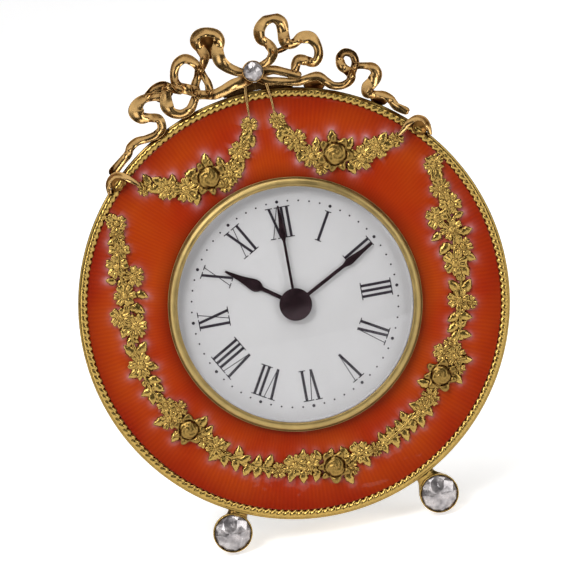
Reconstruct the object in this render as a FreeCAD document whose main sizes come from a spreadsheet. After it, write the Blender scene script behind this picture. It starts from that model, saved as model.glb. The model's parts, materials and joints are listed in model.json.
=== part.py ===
import FreeCAD, Part
import Sketcher
import math
import os
import re

# A small round desk clock: an enamelled plate with gilt garlands under a ribbon bow, which stands
# on two jewelled feet and a folding strut. The face is drawn with x to the right, y up along the
# face and z out of the face, from the plane that the enamel plate lies on. The whole clock then
# leans back by one angle.

SIZES = {
    # Stance
    "lean_angle": 10,
    "strut_angle": 25,
    # Fits and gaps
    "running_gap": 0.03,
    "seat_gap": 0.05,
    "loose_gap": 0.3,
    "overrun": 1,
    # Case
    "plate_radius": 50,
    "band_width": 0.7,
    "band_height": 1.2,
    "band_skirt": 0.9,
    "rope_width": 1.5,
    "rope_height": 1.5,
    "rope_tooth_depth": 0.55,
    "rope_teeth": 198,
    "case_wall": 1.2,
    "case_depth": 10,
    "front_sheet": 1,
    "back_sheet": 1,
    "post_radius": 2.2,
    "post_inset": 9.1,
    "case_screw_radius": 0.8,
    "case_screw_length": 5,
    "case_screw_head_radius": 1.6,
    "case_screw_head_height": 0.8,
    # Enamel plate
    "enamel_thickness": 0.9,
    "enamel_edge": 0.25,
    # Feet
    "foot_angle": 26.287,
    "foot_neck": 0.72,
    "foot_collet_radius": 4.6,
    "foot_collet_depth": 4,
    "foot_collet_front": 1,
    "foot_stone_radius": 3.9,
    "foot_stone_rise": 1,
    "foot_tab_width": 3.4,
    # Bow
    "ribbon_back": 1.3,
    "ribbon_front": 2.3,
    "bow_rise": 4.4,
    "bow_collet_radius": 2.5,
    "bow_collet_front": 3,
    "bow_stone_radius": 2.2,
    "bow_stone_rise": 0.7,
    "saddle_height": 2,
    "saddle_front": 0.4,
    "tail_wire_radius": 0.35,
    "tail_wire_spread": 2.7,
    "rim_loop_height": 1.7,
    # Garlands
    "leaf_height": 0.7,
    "petal_height": 0.9,
    "heart_height": 1.5,
    "rose_height": 2.1,
    "stem_width": 0.6,
    "stem_height": 0.5,
    # Bezel, crystal and dial
    "bezel_overlap": 0.9,
    "bezel_lip_width": 0.5,
    "bezel_shoulder": 1.2,
    "bezel_lip_thickness": 0.65,
    "crystal_edge": 1,
    "crystal_rise": 3.1,
    "dial_radius": 27.6,
    "dial_play": 0.7,
    "dial_thickness": 0.3,
    "dial_ring_width": 1.2,
    "dial_ring_height": 0.7,
    # Insert cup
    "cup_radius": 26,
    "cup_wall": 0.8,
    "cup_flange": 0.3,
    "cup_flange_lap": 1.15,
    "cup_flange_step": 0.5,
    "cup_proud": 1,
    "grip_thickness": 0.5,
    # Hands
    "hand_gap": 0.3,
    "hand_thickness": 0.2,
    "hand_level": 0.4,
    "hour_hand_clearance": 9.6,
    "hour_hand_width": 3.2,
    "hour_hand_boss": 2.6,
    "hour_hand_angle": 305.5,
    "minute_hand_clearance": 4.9,
    "minute_hand_width": 1.6,
    "minute_hand_boss": 2.1,
    "minute_hand_angle": 62,
    "second_hand_clearance": 4.4,
    "second_hand_width": 1.6,
    "second_hand_boss": 1.6,
    "second_hand_angle": 0,
    "cap_radius": 3.77,
    "cap_edge": 0.27,
    "cap_rise": 0.53,
    # Movement plates and levels
    "movement_gap": 0.1,
    "movement_plate": 1,
    "movement_wall": 0.9,
    "level_gap": 0.2,
    "wheel_thickness": 0.5,
    "bridge_radius": 22,
    "pillar_radius": 1.3,
    "pillar_circle": 20,
    "movement_screw_radius": 0.5,
    "movement_screw_length": 3,
    "movement_screw_head_radius": 1,
    "movement_screw_head_height": 0.5,
    # Train
    "arbor_radius": 0.4,
    "second_arbor_radius": 0.5,
    "minute_tube_radius": 1.1,
    "hour_tube_radius": 1.8,
    "tube_gap": 0.08,
    "minute_distance": 6,
    "third_distance": 6.8,
    "intermediate_distance": 7,
    "rotor_distance": 5.4,
    "minute_angle": 60,
    "setting_turn": 30,
    "third_angle": 150,
    "intermediate_angle": 330,
    "rotor_turn": 300,
    "cannon_teeth": 12,
    "minute_teeth": 36,
    "minute_pinion_teeth": 10,
    "hour_teeth": 40,
    "second_pinion_teeth": 8,
    "third_teeth": 60,
    "third_pinion_teeth": 8,
    "centre_teeth": 64,
    "second_teeth": 60,
    "intermediate_pinion_teeth": 10,
    "intermediate_teeth": 50,
    "rotor_pinion_teeth": 10,
    "setting_teeth": 12,
    "minute_post_radius": 0.5,
    "setting_radius": 0.8,
    "knob_radius": 4,
    "knob_thickness": 1.5,
    "knob_flutes": 24,
    "knob_flute_depth": 0.25,
    # Motor
    "rotor_radius": 1.8,
    "rotor_thickness": 1.6,
    "stator_thickness": 0.6,
    "stator_left": -1,
    "stator_right": 14.5,
    "stator_top": 5,
    "stator_waist": 11.4,
    "stator_bottom": 19,
    "stator_leg_width": 2,
    "stator_post_radius": 0.9,
    "coil_radius": 1.8,
    "coil_end_gap": 0.6,
    "coil_core_width": 1.2,
    # Electric parts
    "board_thickness": 0.6,
    "board_left": -14,
    "board_right": 5,
    "board_bottom": 1,
    "board_top": 16,
    "quartz_radius": 0.7,
    "quartz_length": 5,
    "battery_radius": 5.8,
    "battery_height": 5.4,
    "battery_x": -9.5,
    "battery_y": -10.5,
    "battery_edge": 0.3,
    "battery_crown": 0.6,
    "battery_shoulder": 0.9,
    "contact_thickness": 0.25,
    "contact_width": 3,
    # Battery door
    "door_length": 14.5,
    "door_width": 13.5,
    "door_thickness": 0.8,
    "door_grip_height": 0.3,
    "door_grip_width": 5,
    "door_grip_pitch": 1.2,
    "rail_width": 1.4,
    "rail_lip": 0.8,
    "rail_lip_thickness": 0.4,
    # Strut
    "hinge_standoff": 4,
    "bracket_width": 18,
    "bracket_low": 3.5,
    "bracket_high": 7.5,
    "bracket_sheet": 0.8,
    "lug_thickness": 1.6,
    "lug_radius": 1.9,
    "pin_radius": 0.8,
    "knuckle_width": 9,
    "knuckle_radius": 1.7,
    "leg_thickness": 1.2,
    "leg_foot_width": 16,
    "leg_shoulder": 6,
    "foot_block_height": 4,
    "foot_block_thickness": 4,
    "bracket_screw_spread": 7.7,
    "bracket_screw_radius": 0.6,
    "bracket_screw_head_radius": 1.2,
    "bracket_screw_head_height": 0.6,
}

# Shapes of the gear teeth, as shares of the module or of half the tooth pitch
tip_height_share = 0.7
root_depth_share = 1.0
half_tooth_share = 0.40
tooth_root_share = 0.54
tooth_tip_share = 0.20

# Ribbons of the bow: x, y and width along each strand, as shares of the plate radius
left_loop_shares = [
    [(-0.045, 1.090, 0.035), (-0.080, 1.105, 0.040), (-0.115, 1.130, 0.045), (-0.140, 1.165, 0.052),
     (-0.143, 1.210, 0.050), (-0.128, 1.250, 0.045), (-0.135, 1.285, 0.036), (-0.180, 1.303, 0.036),
     (-0.220, 1.297, 0.036), (-0.236, 1.268, 0.040), (-0.218, 1.230, 0.040), (-0.205, 1.195, 0.036),
     (-0.220, 1.158, 0.032), (-0.240, 1.135, 0.032)],
    [(-0.236, 1.130, 0.032), (-0.255, 1.172, 0.034), (-0.292, 1.200, 0.036), (-0.332, 1.188, 0.036),
     (-0.354, 1.152, 0.034), (-0.360, 1.110, 0.034), (-0.346, 1.078, 0.040), (-0.312, 1.062, 0.045),
     (-0.275, 1.045, 0.045)],
    [(-0.240, 1.150, 0.034), (-0.252, 1.110, 0.034), (-0.272, 1.072, 0.034), (-0.270, 1.030, 0.034)],
    [(-0.236, 1.140, 0.030), (-0.225, 1.105, 0.030), (-0.212, 1.070, 0.030), (-0.212, 1.030, 0.034)],
]
left_lower_shares = [
    [(-0.050, 1.052, 0.050), (-0.100, 1.044, 0.048), (-0.150, 1.026, 0.045), (-0.190, 1.016, 0.042),
     (-0.235, 1.022, 0.038), (-0.275, 1.030, 0.038)],
    [(-0.270, 1.035, 0.036), (-0.292, 1.000, 0.036), (-0.315, 0.968, 0.036), (-0.358, 0.955, 0.036),
     (-0.398, 0.970, 0.040), (-0.416, 1.005, 0.052), (-0.412, 1.050, 0.045), (-0.400, 1.085, 0.036)],
    [(-0.505, 1.056, 0.030), (-0.460, 1.090, 0.032), (-0.415, 1.098, 0.034), (-0.375, 1.075, 0.034),
     (-0.340, 1.062, 0.036)],
    [(-0.430, 1.050, 0.036), (-0.500, 1.056, 0.034), (-0.542, 1.038, 0.045), (-0.558, 1.004, 0.062),
     (-0.540, 0.972, 0.048), (-0.500, 0.964, 0.036), (-0.462, 0.950, 0.034), (-0.458, 0.905, 0.034),
     (-0.490, 0.882, 0.034), (-0.535, 0.872, 0.034), (-0.580, 0.868, 0.034), (-0.614, 0.848, 0.034),
     (-0.632, 0.818, 0.034), (-0.660, 0.795, 0.036), (-0.712, 0.752, 0.040)],
]
right_loop_shares = [
    [(0.060, 1.112, 0.034), (0.090, 1.128, 0.034), (0.108, 1.160, 0.036), (0.092, 1.198, 0.038),
     (0.062, 1.228, 0.042), (0.064, 1.270, 0.045), (0.096, 1.304, 0.040), (0.138, 1.312, 0.038),
     (0.168, 1.284, 0.045), (0.168, 1.235, 0.048), (0.172, 1.190, 0.045), (0.205, 1.180, 0.036),
     (0.245, 1.200, 0.045), (0.288, 1.192, 0.046), (0.312, 1.150, 0.034), (0.310, 1.105, 0.034),
     (0.286, 1.078, 0.034), (0.250, 1.092, 0.040), (0.212, 1.104, 0.036), (0.192, 1.062, 0.036)],
    [(0.055, 1.078, 0.040), (0.095, 1.078, 0.036), (0.135, 1.062, 0.036), (0.175, 1.044, 0.036),
     (0.205, 1.030, 0.036)],
    [(0.102, 1.166, 0.022), (0.135, 1.160, 0.022), (0.172, 1.170, 0.022)],
]
right_lower_shares = [
    [(0.050, 1.036, 0.036), (0.100, 1.026, 0.032), (0.150, 1.014, 0.032), (0.196, 1.004, 0.034),
     (0.240, 1.012, 0.034), (0.290, 1.014, 0.034), (0.322, 0.984, 0.036), (0.352, 0.958, 0.032),
     (0.395, 0.952, 0.030), (0.434, 0.968, 0.030), (0.440, 1.000, 0.034), (0.408, 1.036, 0.038),
     (0.402, 1.070, 0.034)],
    [(0.402, 1.052, 0.034), (0.408, 1.084, 0.032), (0.434, 1.099, 0.030), (0.465, 1.082, 0.028),
     (0.472, 1.046, 0.028), (0.456, 1.012, 0.030), (0.440, 0.985, 0.030)],
    [(0.462, 1.030, 0.030), (0.510, 1.022, 0.028), (0.548, 1.008, 0.034), (0.558, 0.976, 0.042),
     (0.536, 0.945, 0.050), (0.508, 0.922, 0.050), (0.500, 0.894, 0.036), (0.540, 0.884, 0.030),
     (0.575, 0.874, 0.030), (0.602, 0.848, 0.034), (0.622, 0.812, 0.034), (0.662, 0.784, 0.034)],
]
# The ends of the ribbon that lie over the rim
left_rim_loop_shares = [
    [(-0.604, 0.669, 0.030), (-0.639, 0.699, 0.038), (-0.674, 0.727, 0.040), (-0.710, 0.735, 0.038),
     (-0.737, 0.716, 0.034), (-0.748, 0.688, 0.032), (-0.746, 0.655, 0.030)],
]
right_rim_loop_shares = [
    [(0.606, 0.680, 0.030), (0.634, 0.702, 0.034), (0.662, 0.728, 0.038), (0.700, 0.744, 0.038),
     (0.734, 0.732, 0.034), (0.749, 0.700, 0.032), (0.750, 0.655, 0.030)],
]

# Flowers and roses: x, y and radius. Leaves: x, y, length, and the direction of the tip in degrees.
# Stems: x and y along each. All but the directions are shares of the plate radius.
swag_left_flower_shares = [
    (-0.061, 0.850, 0.034), (-0.124, 0.740, 0.044), (-0.187, 0.646, 0.045), (-0.215, 0.598, 0.030),
    (-0.401, 0.610, 0.050), (-0.484, 0.629, 0.045), (-0.587, 0.651, 0.030),
]
swag_left_rose_shares = [(-0.287, 0.646, 0.062)]
swag_left_leaf_shares = [
    (-0.063, 0.774, 0.050, 270), (-0.086, 0.806, 0.050, 210), (-0.100, 0.784, 0.045, 240),
    (-0.133, 0.668, 0.050, 265), (-0.223, 0.706, 0.050, 100), (-0.359, 0.560, 0.050, 260),
    (-0.287, 0.728, 0.055, 90), (-0.362, 0.680, 0.055, 40), (-0.453, 0.666, 0.050, 80),
    (-0.520, 0.672, 0.055, 140), (-0.570, 0.690, 0.050, 110), (-0.540, 0.640, 0.055, 190),
]
swag_left_stem_shares = [
    [(-0.061, 0.850), (-0.090, 0.790), (-0.124, 0.740), (-0.160, 0.690), (-0.200, 0.640),
     (-0.287, 0.640), (-0.401, 0.612), (-0.484, 0.629), (-0.540, 0.642), (-0.600, 0.660)],
]
swag_right_flower_shares = [
    (0.069, 0.850, 0.033), (0.137, 0.740, 0.045), (0.198, 0.657, 0.045), (0.232, 0.598, 0.030),
    (0.420, 0.610, 0.050), (0.503, 0.640, 0.045), (0.594, 0.663, 0.030),
]
swag_right_rose_shares = [(0.306, 0.649, 0.064)]
swag_right_leaf_shares = [
    (0.073, 0.774, 0.050, 270), (0.096, 0.800, 0.050, 330), (0.105, 0.780, 0.045, 300),
    (0.145, 0.668, 0.050, 250), (0.230, 0.712, 0.050, 80), (0.371, 0.568, 0.050, 290),
    (0.306, 0.730, 0.055, 90), (0.377, 0.684, 0.055, 50), (0.460, 0.672, 0.050, 100),
    (0.536, 0.680, 0.055, 50), (0.555, 0.646, 0.055, 350),
]
swag_right_stem_shares = [
    [(0.069, 0.850), (0.100, 0.790), (0.137, 0.740), (0.170, 0.695), (0.215, 0.645),
     (0.306, 0.645), (0.420, 0.614), (0.503, 0.640), (0.555, 0.650), (0.606, 0.672)],
]
garland_left_flower_shares = [
    (-0.742, 0.515, 0.040), (-0.748, 0.466, 0.030), (-0.752, 0.398, 0.042), (-0.777, 0.321, 0.045),
    (-0.708, 0.263, 0.042), (-0.765, 0.185, 0.045), (-0.806, 0.089, 0.040), (-0.745, 0.037, 0.050),
    (-0.752, -0.144, 0.050), (-0.674, -0.347, 0.035), (-0.617, -0.376, 0.035),
    (-0.669, -0.416, 0.040), (-0.526, -0.536, 0.035), (-0.480, -0.581, 0.042),
    (-0.214, -0.744, 0.032), (-0.137, -0.733, 0.045), (-0.069, -0.742, 0.042),
]
garland_left_rose_shares = [(-0.589, -0.480, 0.055)]
garland_left_leaf_shares = [
    (-0.770, 0.440, 0.050, 200), (-0.816, 0.262, 0.040, 160), (-0.684, 0.172, 0.045, 330),
    (-0.714, 0.110, 0.055, 320), (-0.796, 0.020, 0.055, 240), (-0.790, -0.066, 0.055, 130),
    (-0.729, -0.066, 0.055, 50), (-0.700, -0.160, 0.050, 340), (-0.790, -0.180, 0.050, 200),
    (-0.700, -0.225, 0.050, 345), (-0.690, -0.262, 0.050, 320), (-0.748, -0.275, 0.050, 200),
    (-0.726, -0.306, 0.050, 265), (-0.716, -0.419, 0.050, 190), (-0.520, -0.455, 0.055, 40),
    (-0.655, -0.500, 0.050, 220), (-0.500, -0.500, 0.050, 40), (-0.440, -0.582, 0.050, 10),
    (-0.500, -0.622, 0.050, 210), (-0.454, -0.650, 0.050, 260), (-0.380, -0.626, 0.050, 80),
    (-0.358, -0.662, 0.050, 20), (-0.406, -0.680, 0.050, 260), (-0.360, -0.714, 0.050, 230),
    (-0.314, -0.732, 0.050, 240), (-0.300, -0.682, 0.050, 70), (-0.248, -0.690, 0.050, 60),
    (-0.263, -0.744, 0.045, 260), (-0.163, -0.784, 0.045, 240), (-0.106, -0.796, 0.050, 260),
    (-0.091, -0.692, 0.045, 80), (-0.045, -0.800, 0.050, 250), (-0.026, -0.706, 0.045, 110),
]
garland_left_stem_shares = [
    [(-0.792, 0.556), (-0.742, 0.515), (-0.750, 0.398), (-0.765, 0.290), (-0.760, 0.185),
     (-0.765, 0.060), (-0.768, -0.030), (-0.752, -0.144), (-0.738, -0.230), (-0.700, -0.310),
     (-0.650, -0.390), (-0.589, -0.480), (-0.510, -0.560), (-0.469, -0.612), (-0.400, -0.652),
     (-0.320, -0.704), (-0.214, -0.738), (-0.130, -0.740), (-0.060, -0.750)],
]
garland_right_flower_shares = [
    (0.744, 0.515, 0.040), (0.756, 0.402, 0.042), (0.789, 0.327, 0.045), (0.715, 0.273, 0.045),
    (0.776, 0.205, 0.045), (0.811, 0.121, 0.040), (0.763, 0.053, 0.050), (0.750, -0.118, 0.045),
    (0.798, -0.142, 0.030), (0.630, -0.347, 0.038), (0.690, -0.376, 0.042), (0.690, -0.430, 0.030),
    (0.676, -0.315, 0.030), (0.539, -0.540, 0.038), (0.492, -0.581, 0.035), (0.173, -0.730, 0.045),
    (0.244, -0.730, 0.030), (0.121, -0.800, 0.028),
]
garland_right_rose_shares = [(0.044, -0.775, 0.058), (0.604, -0.450, 0.058)]
garland_right_leaf_shares = [
    (0.760, 0.460, 0.055, 290), (0.821, 0.270, 0.040, 20), (0.698, 0.185, 0.045, 210),
    (0.840, 0.190, 0.050, 10), (0.724, 0.122, 0.055, 220), (0.838, 0.066, 0.050, 330),
    (0.804, 0.010, 0.055, 290), (0.737, -0.050, 0.055, 120), (0.800, -0.060, 0.055, 50),
    (0.708, -0.198, 0.050, 200), (0.698, -0.244, 0.050, 210), (0.769, -0.202, 0.050, 340),
    (0.700, -0.285, 0.050, 215), (0.752, -0.285, 0.050, 340), (0.735, -0.400, 0.050, 350),
    (0.520, -0.470, 0.055, 150), (0.680, -0.480, 0.050, 300), (0.462, -0.568, 0.050, 150),
    (0.520, -0.604, 0.050, 300), (0.478, -0.645, 0.050, 280), (0.436, -0.660, 0.050, 270),
    (0.401, -0.606, 0.050, 110), (0.372, -0.640, 0.050, 120), (0.396, -0.694, 0.050, 280),
    (0.346, -0.716, 0.050, 280), (0.325, -0.664, 0.050, 110), (0.284, -0.684, 0.050, 120),
    (0.290, -0.736, 0.045, 290), (0.196, -0.780, 0.045, 290), (0.098, -0.716, 0.050, 110),
    (0.104, -0.842, 0.050, 290), (0.036, -0.712, 0.045, 70),
]
garland_right_stem_shares = [
    [(0.060, -0.750), (0.121, -0.760), (0.173, -0.735), (0.244, -0.728), (0.300, -0.704),
     (0.344, -0.684), (0.407, -0.642), (0.459, -0.616), (0.500, -0.585), (0.550, -0.530),
     (0.604, -0.450), (0.650, -0.390), (0.696, -0.320), (0.738, -0.230), (0.752, -0.118),
     (0.779, -0.015), (0.765, 0.060), (0.782, 0.200), (0.770, 0.300), (0.756, 0.402),
     (0.744, 0.515), (0.792, 0.556)],
]
# The enamel field that the garlands fill, between bezel and border
field_inner_share = 0.594
field_outer_share = 0.956
petal_valley_share = 0.66
heart_share = 0.34
heart_top_share = 0.20
rose_ball_share = 0.62
rose_top_share = 0.36
leaf_width_share = 0.24

# Outlines along each hand: shares of its length, and of its widest width
hour_hand_shares = [(0.0, 0.27), (0.30, 0.27), (0.46, 0.29), (0.53, 0.75), (0.585, 1.0),
                    (0.66, 0.80), (0.78, 0.36), (0.88, 0.16), (1.0, 0.06)]
long_hand_shares = [(0.0, 0.48), (0.35, 0.48), (0.62, 0.54), (0.69, 0.86), (0.745, 1.0),
                    (0.82, 0.80), (0.91, 0.46), (1.0, 0.20)]
hand_tail_share = 0.18
# The saddle under the bow, and the ends of the tail wires, as shares of the plate radius
saddle_half_share = 0.15
tail_wire_end_share = 0.888
tail_wire_start_share = 1.04

vector = FreeCAD.Vector
document = FreeCAD.newDocument("Pendulette")
sheet = document.addObject("Spreadsheet::Sheet", "Sizes")
for row, (name, value) in enumerate(SIZES.items(), start=1):
    sheet.set(f"A{row}", name)
    sheet.set(f"B{row}", str(value))
    sheet.setAlias(f"B{row}", name)
places = document.addObject("App::VarSet", "Places")
document.recompute()
derived = []
parts = {}


def bind(text):
    """The expression with each name read from the sheet or from the worked out places."""
    def owner(match):
        word = match.group(0)
        if word in SIZES:
            return "Sizes." + word
        return "Places." + word if word in derived else word
    return re.sub(r"[a-z][a-z_]+", owner, text)


def number(text):
    """The value of an expression, in millimetres or degrees."""
    return float(places.evalExpression(bind(text)))


def derive(name, text):
    """A place or size that follows from the driving ones."""
    places.addProperty("App::PropertyFloat", name, "Places", "")
    places.setExpression(name, bind(text))
    derived.append(name)
    places.recompute()


# Case
derive("case_radius", "plate_radius - band_width")
derive("case_bore", "case_radius - case_wall")
derive("border_inner", "case_radius - rope_width")
derive("insert_hole", "cup_radius + grip_thickness + seat_gap")
derive("back_face", "0 - case_depth")
derive("back_plate_radius", "case_bore - seat_gap")
derive("post_side", "(case_bore - post_inset) * cos(45)")
derive("foot_ring", "plate_radius + foot_collet_radius + foot_neck")
derive("foot_spread", "foot_ring * sin(foot_angle)")
derive("foot_drop", "foot_ring * cos(foot_angle)")
derive("bow_height", "plate_radius + bow_rise")
# Enamel plate and bezel
derive("enamel_radius", "border_inner - seat_gap")
derive("crystal_radius", "dial_radius + dial_play")
derive("cup_flange_radius", "max(dial_radius + cup_flange_lap; cup_radius + cup_flange_step)")
derive("enamel_hole", "cup_flange_radius + seat_gap")
derive("bezel_radius", "enamel_hole + bezel_overlap")
derive("bezel_lip_radius", "crystal_radius - bezel_lip_width")
derive("dial_face", "cup_flange + dial_thickness")
derive("crystal_seat", "dial_face + dial_ring_height")
derive("lip_seat", "crystal_seat + crystal_edge + 4 * seat_gap")
derive("bezel_top", "lip_seat + bezel_lip_thickness")
derive("crystal_bore", "crystal_radius + seat_gap")
# Hands
derive("hour_hand_level", "dial_face + hand_gap")
derive("minute_hand_level", "hour_hand_level + hand_level")
derive("second_hand_level", "minute_hand_level + hand_level")
derive("second_hand_top", "second_hand_level + hand_thickness")
derive("hour_hand_length", "dial_radius - hour_hand_clearance")
derive("minute_hand_length", "dial_radius - minute_hand_clearance")
derive("second_hand_length", "dial_radius - second_hand_clearance")
# Levels of the movement, from the dial to the back
derive("hour_wheel_top", "cup_flange - level_gap")
derive("hour_wheel_low", "hour_wheel_top - wheel_thickness")
derive("minute_wheel_top", "hour_wheel_low - level_gap")
derive("minute_wheel_low", "minute_wheel_top - wheel_thickness")
derive("main_plate_top", "minute_wheel_low - level_gap")
derive("main_plate_low", "main_plate_top - movement_plate")
derive("centre_wheel_top", "main_plate_low - level_gap")
derive("centre_wheel_low", "centre_wheel_top - wheel_thickness")
derive("third_wheel_top", "centre_wheel_low - level_gap")
derive("third_wheel_low", "third_wheel_top - wheel_thickness")
derive("second_wheel_top", "third_wheel_low - level_gap")
derive("second_wheel_low", "second_wheel_top - wheel_thickness")
derive("intermediate_top", "second_wheel_low - level_gap")
derive("intermediate_low", "intermediate_top - wheel_thickness")
derive("rotor_top", "intermediate_low - level_gap")
derive("rotor_low", "rotor_top - rotor_thickness")
derive("bridge_top", "rotor_low - level_gap")
derive("bridge_low", "bridge_top - movement_plate")
derive("cup_back", "back_face - cup_proud")
derive("cup_floor", "cup_back + cup_wall")
derive("cup_bore", "cup_radius - cup_wall")
derive("main_plate_radius", "cup_bore - movement_gap")
derive("main_plate_bore", "main_plate_radius - movement_wall")
# Places of the arbors
derive("minute_x", "minute_distance * cos(minute_angle)")
derive("minute_y", "minute_distance * sin(minute_angle)")
derive("setting_distance",
       "minute_distance * (minute_teeth + setting_teeth) / (minute_teeth + cannon_teeth)")
derive("setting_x", "minute_x + setting_distance * cos(setting_turn)")
derive("setting_y", "minute_y + setting_distance * sin(setting_turn)")
derive("third_x", "third_distance * cos(third_angle)")
derive("third_y", "third_distance * sin(third_angle)")
derive("intermediate_x", "intermediate_distance * cos(intermediate_angle)")
derive("intermediate_y", "intermediate_distance * sin(intermediate_angle)")
derive("rotor_x", "intermediate_x + rotor_distance * cos(rotor_turn)")
derive("rotor_y", "intermediate_y + rotor_distance * sin(rotor_turn)")
# Strut and stance
derive("hinge_height", "(insert_hole + case_bore + bracket_low - bracket_high) / 2")
derive("hinge_depth", "back_face - hinge_standoff")
derive("stand_angle", "strut_angle - lean_angle")
derive("rest_height",
       "(foot_drop + foot_collet_radius) * cos(lean_angle) + foot_collet_depth * sin(lean_angle)")
derive("hinge_rise", "rest_height + hinge_height * cos(lean_angle) + hinge_depth * sin(lean_angle)")
derive("leg_length", "hinge_rise / cos(stand_angle)")
derive("heel_room", "hinge_standoff - bracket_sheet - seat_gap - leg_thickness / 2 * cos(strut_angle)")
derive("heel_length", "heel_room / sin(strut_angle)")
derive("door_top", "cup_back - seat_gap")
derive("door_low", "door_top - door_thickness")
places.addProperty("App::PropertyFloat", "centring", "Places", "")
derived.append("centring")


def stand(piece, name, x="0", y="0", z="0", angle="90 - lean_angle"):
    """Labels a sub-part and leans it back with the clock, from its own place on the face."""
    piece.Label = name
    piece.Placement = FreeCAD.Placement(vector(0, 0, 0), FreeCAD.Rotation(vector(1, 0, 0), 1))
    piece.setExpression("Placement.Rotation.Angle", bind(angle))
    piece.setExpression("Placement.Base.x", bind(x))
    piece.setExpression("Placement.Base.y", bind(
        f"centring + ({y}) * sin(lean_angle) - ({z}) * cos(lean_angle)"))
    piece.setExpression("Placement.Base.z", bind(
        f"rest_height + ({y}) * cos(lean_angle) + ({z}) * sin(lean_angle)"))
    parts[name] = piece
    return piece


def sketch_on(body, role, outline, low="0"):
    """A closed outline of straight edges on one of the body's own planes, each point bound."""
    sketch = body.newObject("Sketcher::SketchObject", body.Name + "_sketch")
    plane = [feature for feature in body.Origin.OriginFeatures if feature.Role == role][0]
    sketch.AttachmentSupport = [(plane, "")]
    sketch.MapMode = "FlatFace"
    sketch.setExpression("AttachmentOffset.Base.z", bind(low))
    corners = [vector(number(across), number(up), 0) for across, up in outline]
    for index, corner in enumerate(corners):
        sketch.addGeometry(Part.LineSegment(corner, corners[(index + 1) % len(corners)]), False)
    for index in range(len(corners)):
        sketch.addConstraint(Sketcher.Constraint("Coincident", index, 2, (index + 1) % len(corners), 1))
    for index, (across, up) in enumerate(outline):
        wide = Sketcher.Constraint("DistanceX", -1, 1, index, 1, corners[index].x)
        sketch.setExpression(f"Constraints[{sketch.addConstraint(wide)}]", bind(across))
        tall = Sketcher.Constraint("DistanceY", -1, 1, index, 1, corners[index].y)
        sketch.setExpression(f"Constraints[{sketch.addConstraint(tall)}]", bind(up))
    return sketch


def turned(name, outline):
    """A body turned about the z axis from points of radius and height."""
    body = document.addObject("PartDesign::Body", name)
    turn = body.newObject("PartDesign::Revolution", name + "_turn")
    turn.Profile = sketch_on(body, "XZ_Plane", outline)
    turn.ReferenceAxis = (turn.Profile[0], ["V_Axis"])
    turn.Angle = 360
    return body


def tube(name, outer, inner, low, high):
    """A plain ring or, with an inner radius of zero, a plain disc."""
    return turned(name, [(inner, low), (outer, low), (outer, high), (inner, high)])


def padded(name, outline, low, high):
    """A body padded between two heights from points of x and y."""
    body = document.addObject("PartDesign::Body", name)
    pad = body.newObject("PartDesign::Pad", name + "_pad")
    pad.Profile = sketch_on(body, "XY_Plane", outline, low)
    pad.setExpression("Length", bind(f"({high}) - ({low})"))
    return body


def block(name, left, right, bottom, top, low, high):
    """A rectangular bar between three pairs of places."""
    return padded(name, [(left, bottom), (right, bottom), (right, top), (left, top)], low, high)


def rod(name, radius, x, y, low, high):
    """A round bar along z."""
    piece = document.addObject("Part::Cylinder", name)
    piece.setExpression("Radius", bind(radius))
    piece.setExpression("Height", bind(f"({high}) - ({low})"))
    piece.setExpression("Placement.Base.x", bind(x))
    piece.setExpression("Placement.Base.y", bind(y))
    piece.setExpression("Placement.Base.z", bind(low))
    return piece


def cross_rod(name, radius, left, right, y, z):
    """A round bar along x."""
    piece = document.addObject("Part::Cylinder", name)
    piece.Placement = FreeCAD.Placement(vector(0, 0, 0), FreeCAD.Rotation(vector(0, 1, 0), 90))
    piece.setExpression("Radius", bind(radius))
    piece.setExpression("Height", bind(f"({right}) - ({left})"))
    piece.setExpression("Placement.Base.x", bind(left))
    piece.setExpression("Placement.Base.y", bind(y))
    piece.setExpression("Placement.Base.z", bind(z))
    return piece


def fused(name, shapes):
    piece = document.addObject("Part::MultiFuse", name)
    piece.Shapes = shapes
    return piece


def cut(name, base, tool):
    piece = document.addObject("Part::Cut", name)
    piece.Base = base
    piece.Tool = tool
    return piece


def grouped(name, shapes):
    """Like separate pieces kept as one node."""
    piece = document.addObject("Part::Compound", name)
    piece.Links = shapes
    return piece


def drawn(name, shape):
    """A sub-part whose shape comes from a formula that no sketch or primitive gives."""
    piece = document.addObject("Part::Feature", name)
    piece.Shape = shape
    return piece


# Case body: a pan with a front sheet, a hole for the insert and four screw posts
case_pan = turned("case_pan", [
    ("insert_hole", "-front_sheet"), ("case_bore", "-front_sheet"), ("case_bore", "back_face"),
    ("case_radius", "back_face"), ("case_radius", "0"), ("insert_hole", "0")])
corner_signs = [("", ""), ("-", ""), ("-", "-"), ("", "-")]
posts = [rod(f"case_post_{index}", "post_radius", f"{across}post_side", f"{up}post_side",
             "back_face + back_sheet", "-front_sheet")
         for index, (across, up) in enumerate(corner_signs)]
post_holes = [rod(f"case_post_hole_{index}", "case_screw_radius + running_gap", f"{across}post_side",
                  f"{up}post_side", "back_face", "back_face + case_screw_length + overrun")
              for index, (across, up) in enumerate(corner_signs)]
stand(cut("case_body", fused("case_pan_posts", [case_pan] + posts), fused("case_post_holes", post_holes)),
      "case_body")

# Back plate with a hole for the insert cup
back_disc = tube("back_disc", "back_plate_radius", "cup_radius + loose_gap", "back_face",
                 "back_face + back_sheet")
back_holes = [rod(f"back_hole_{index}", "case_screw_radius + running_gap", f"{across}post_side",
                  f"{up}post_side", "back_face - overrun", "back_face + back_sheet + overrun")
              for index, (across, up) in enumerate(corner_signs)]
bracket_holes = [rod(f"bracket_hole_{index}", "bracket_screw_radius + running_gap",
                     f"{side}bracket_screw_spread", "hinge_height", "back_face - overrun",
                     "back_face + back_sheet + overrun")
                 for index, side in enumerate(("", "-"))]
stand(cut("back_plate", back_disc, fused("back_plate_holes", back_holes + bracket_holes)), "back_plate")


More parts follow.
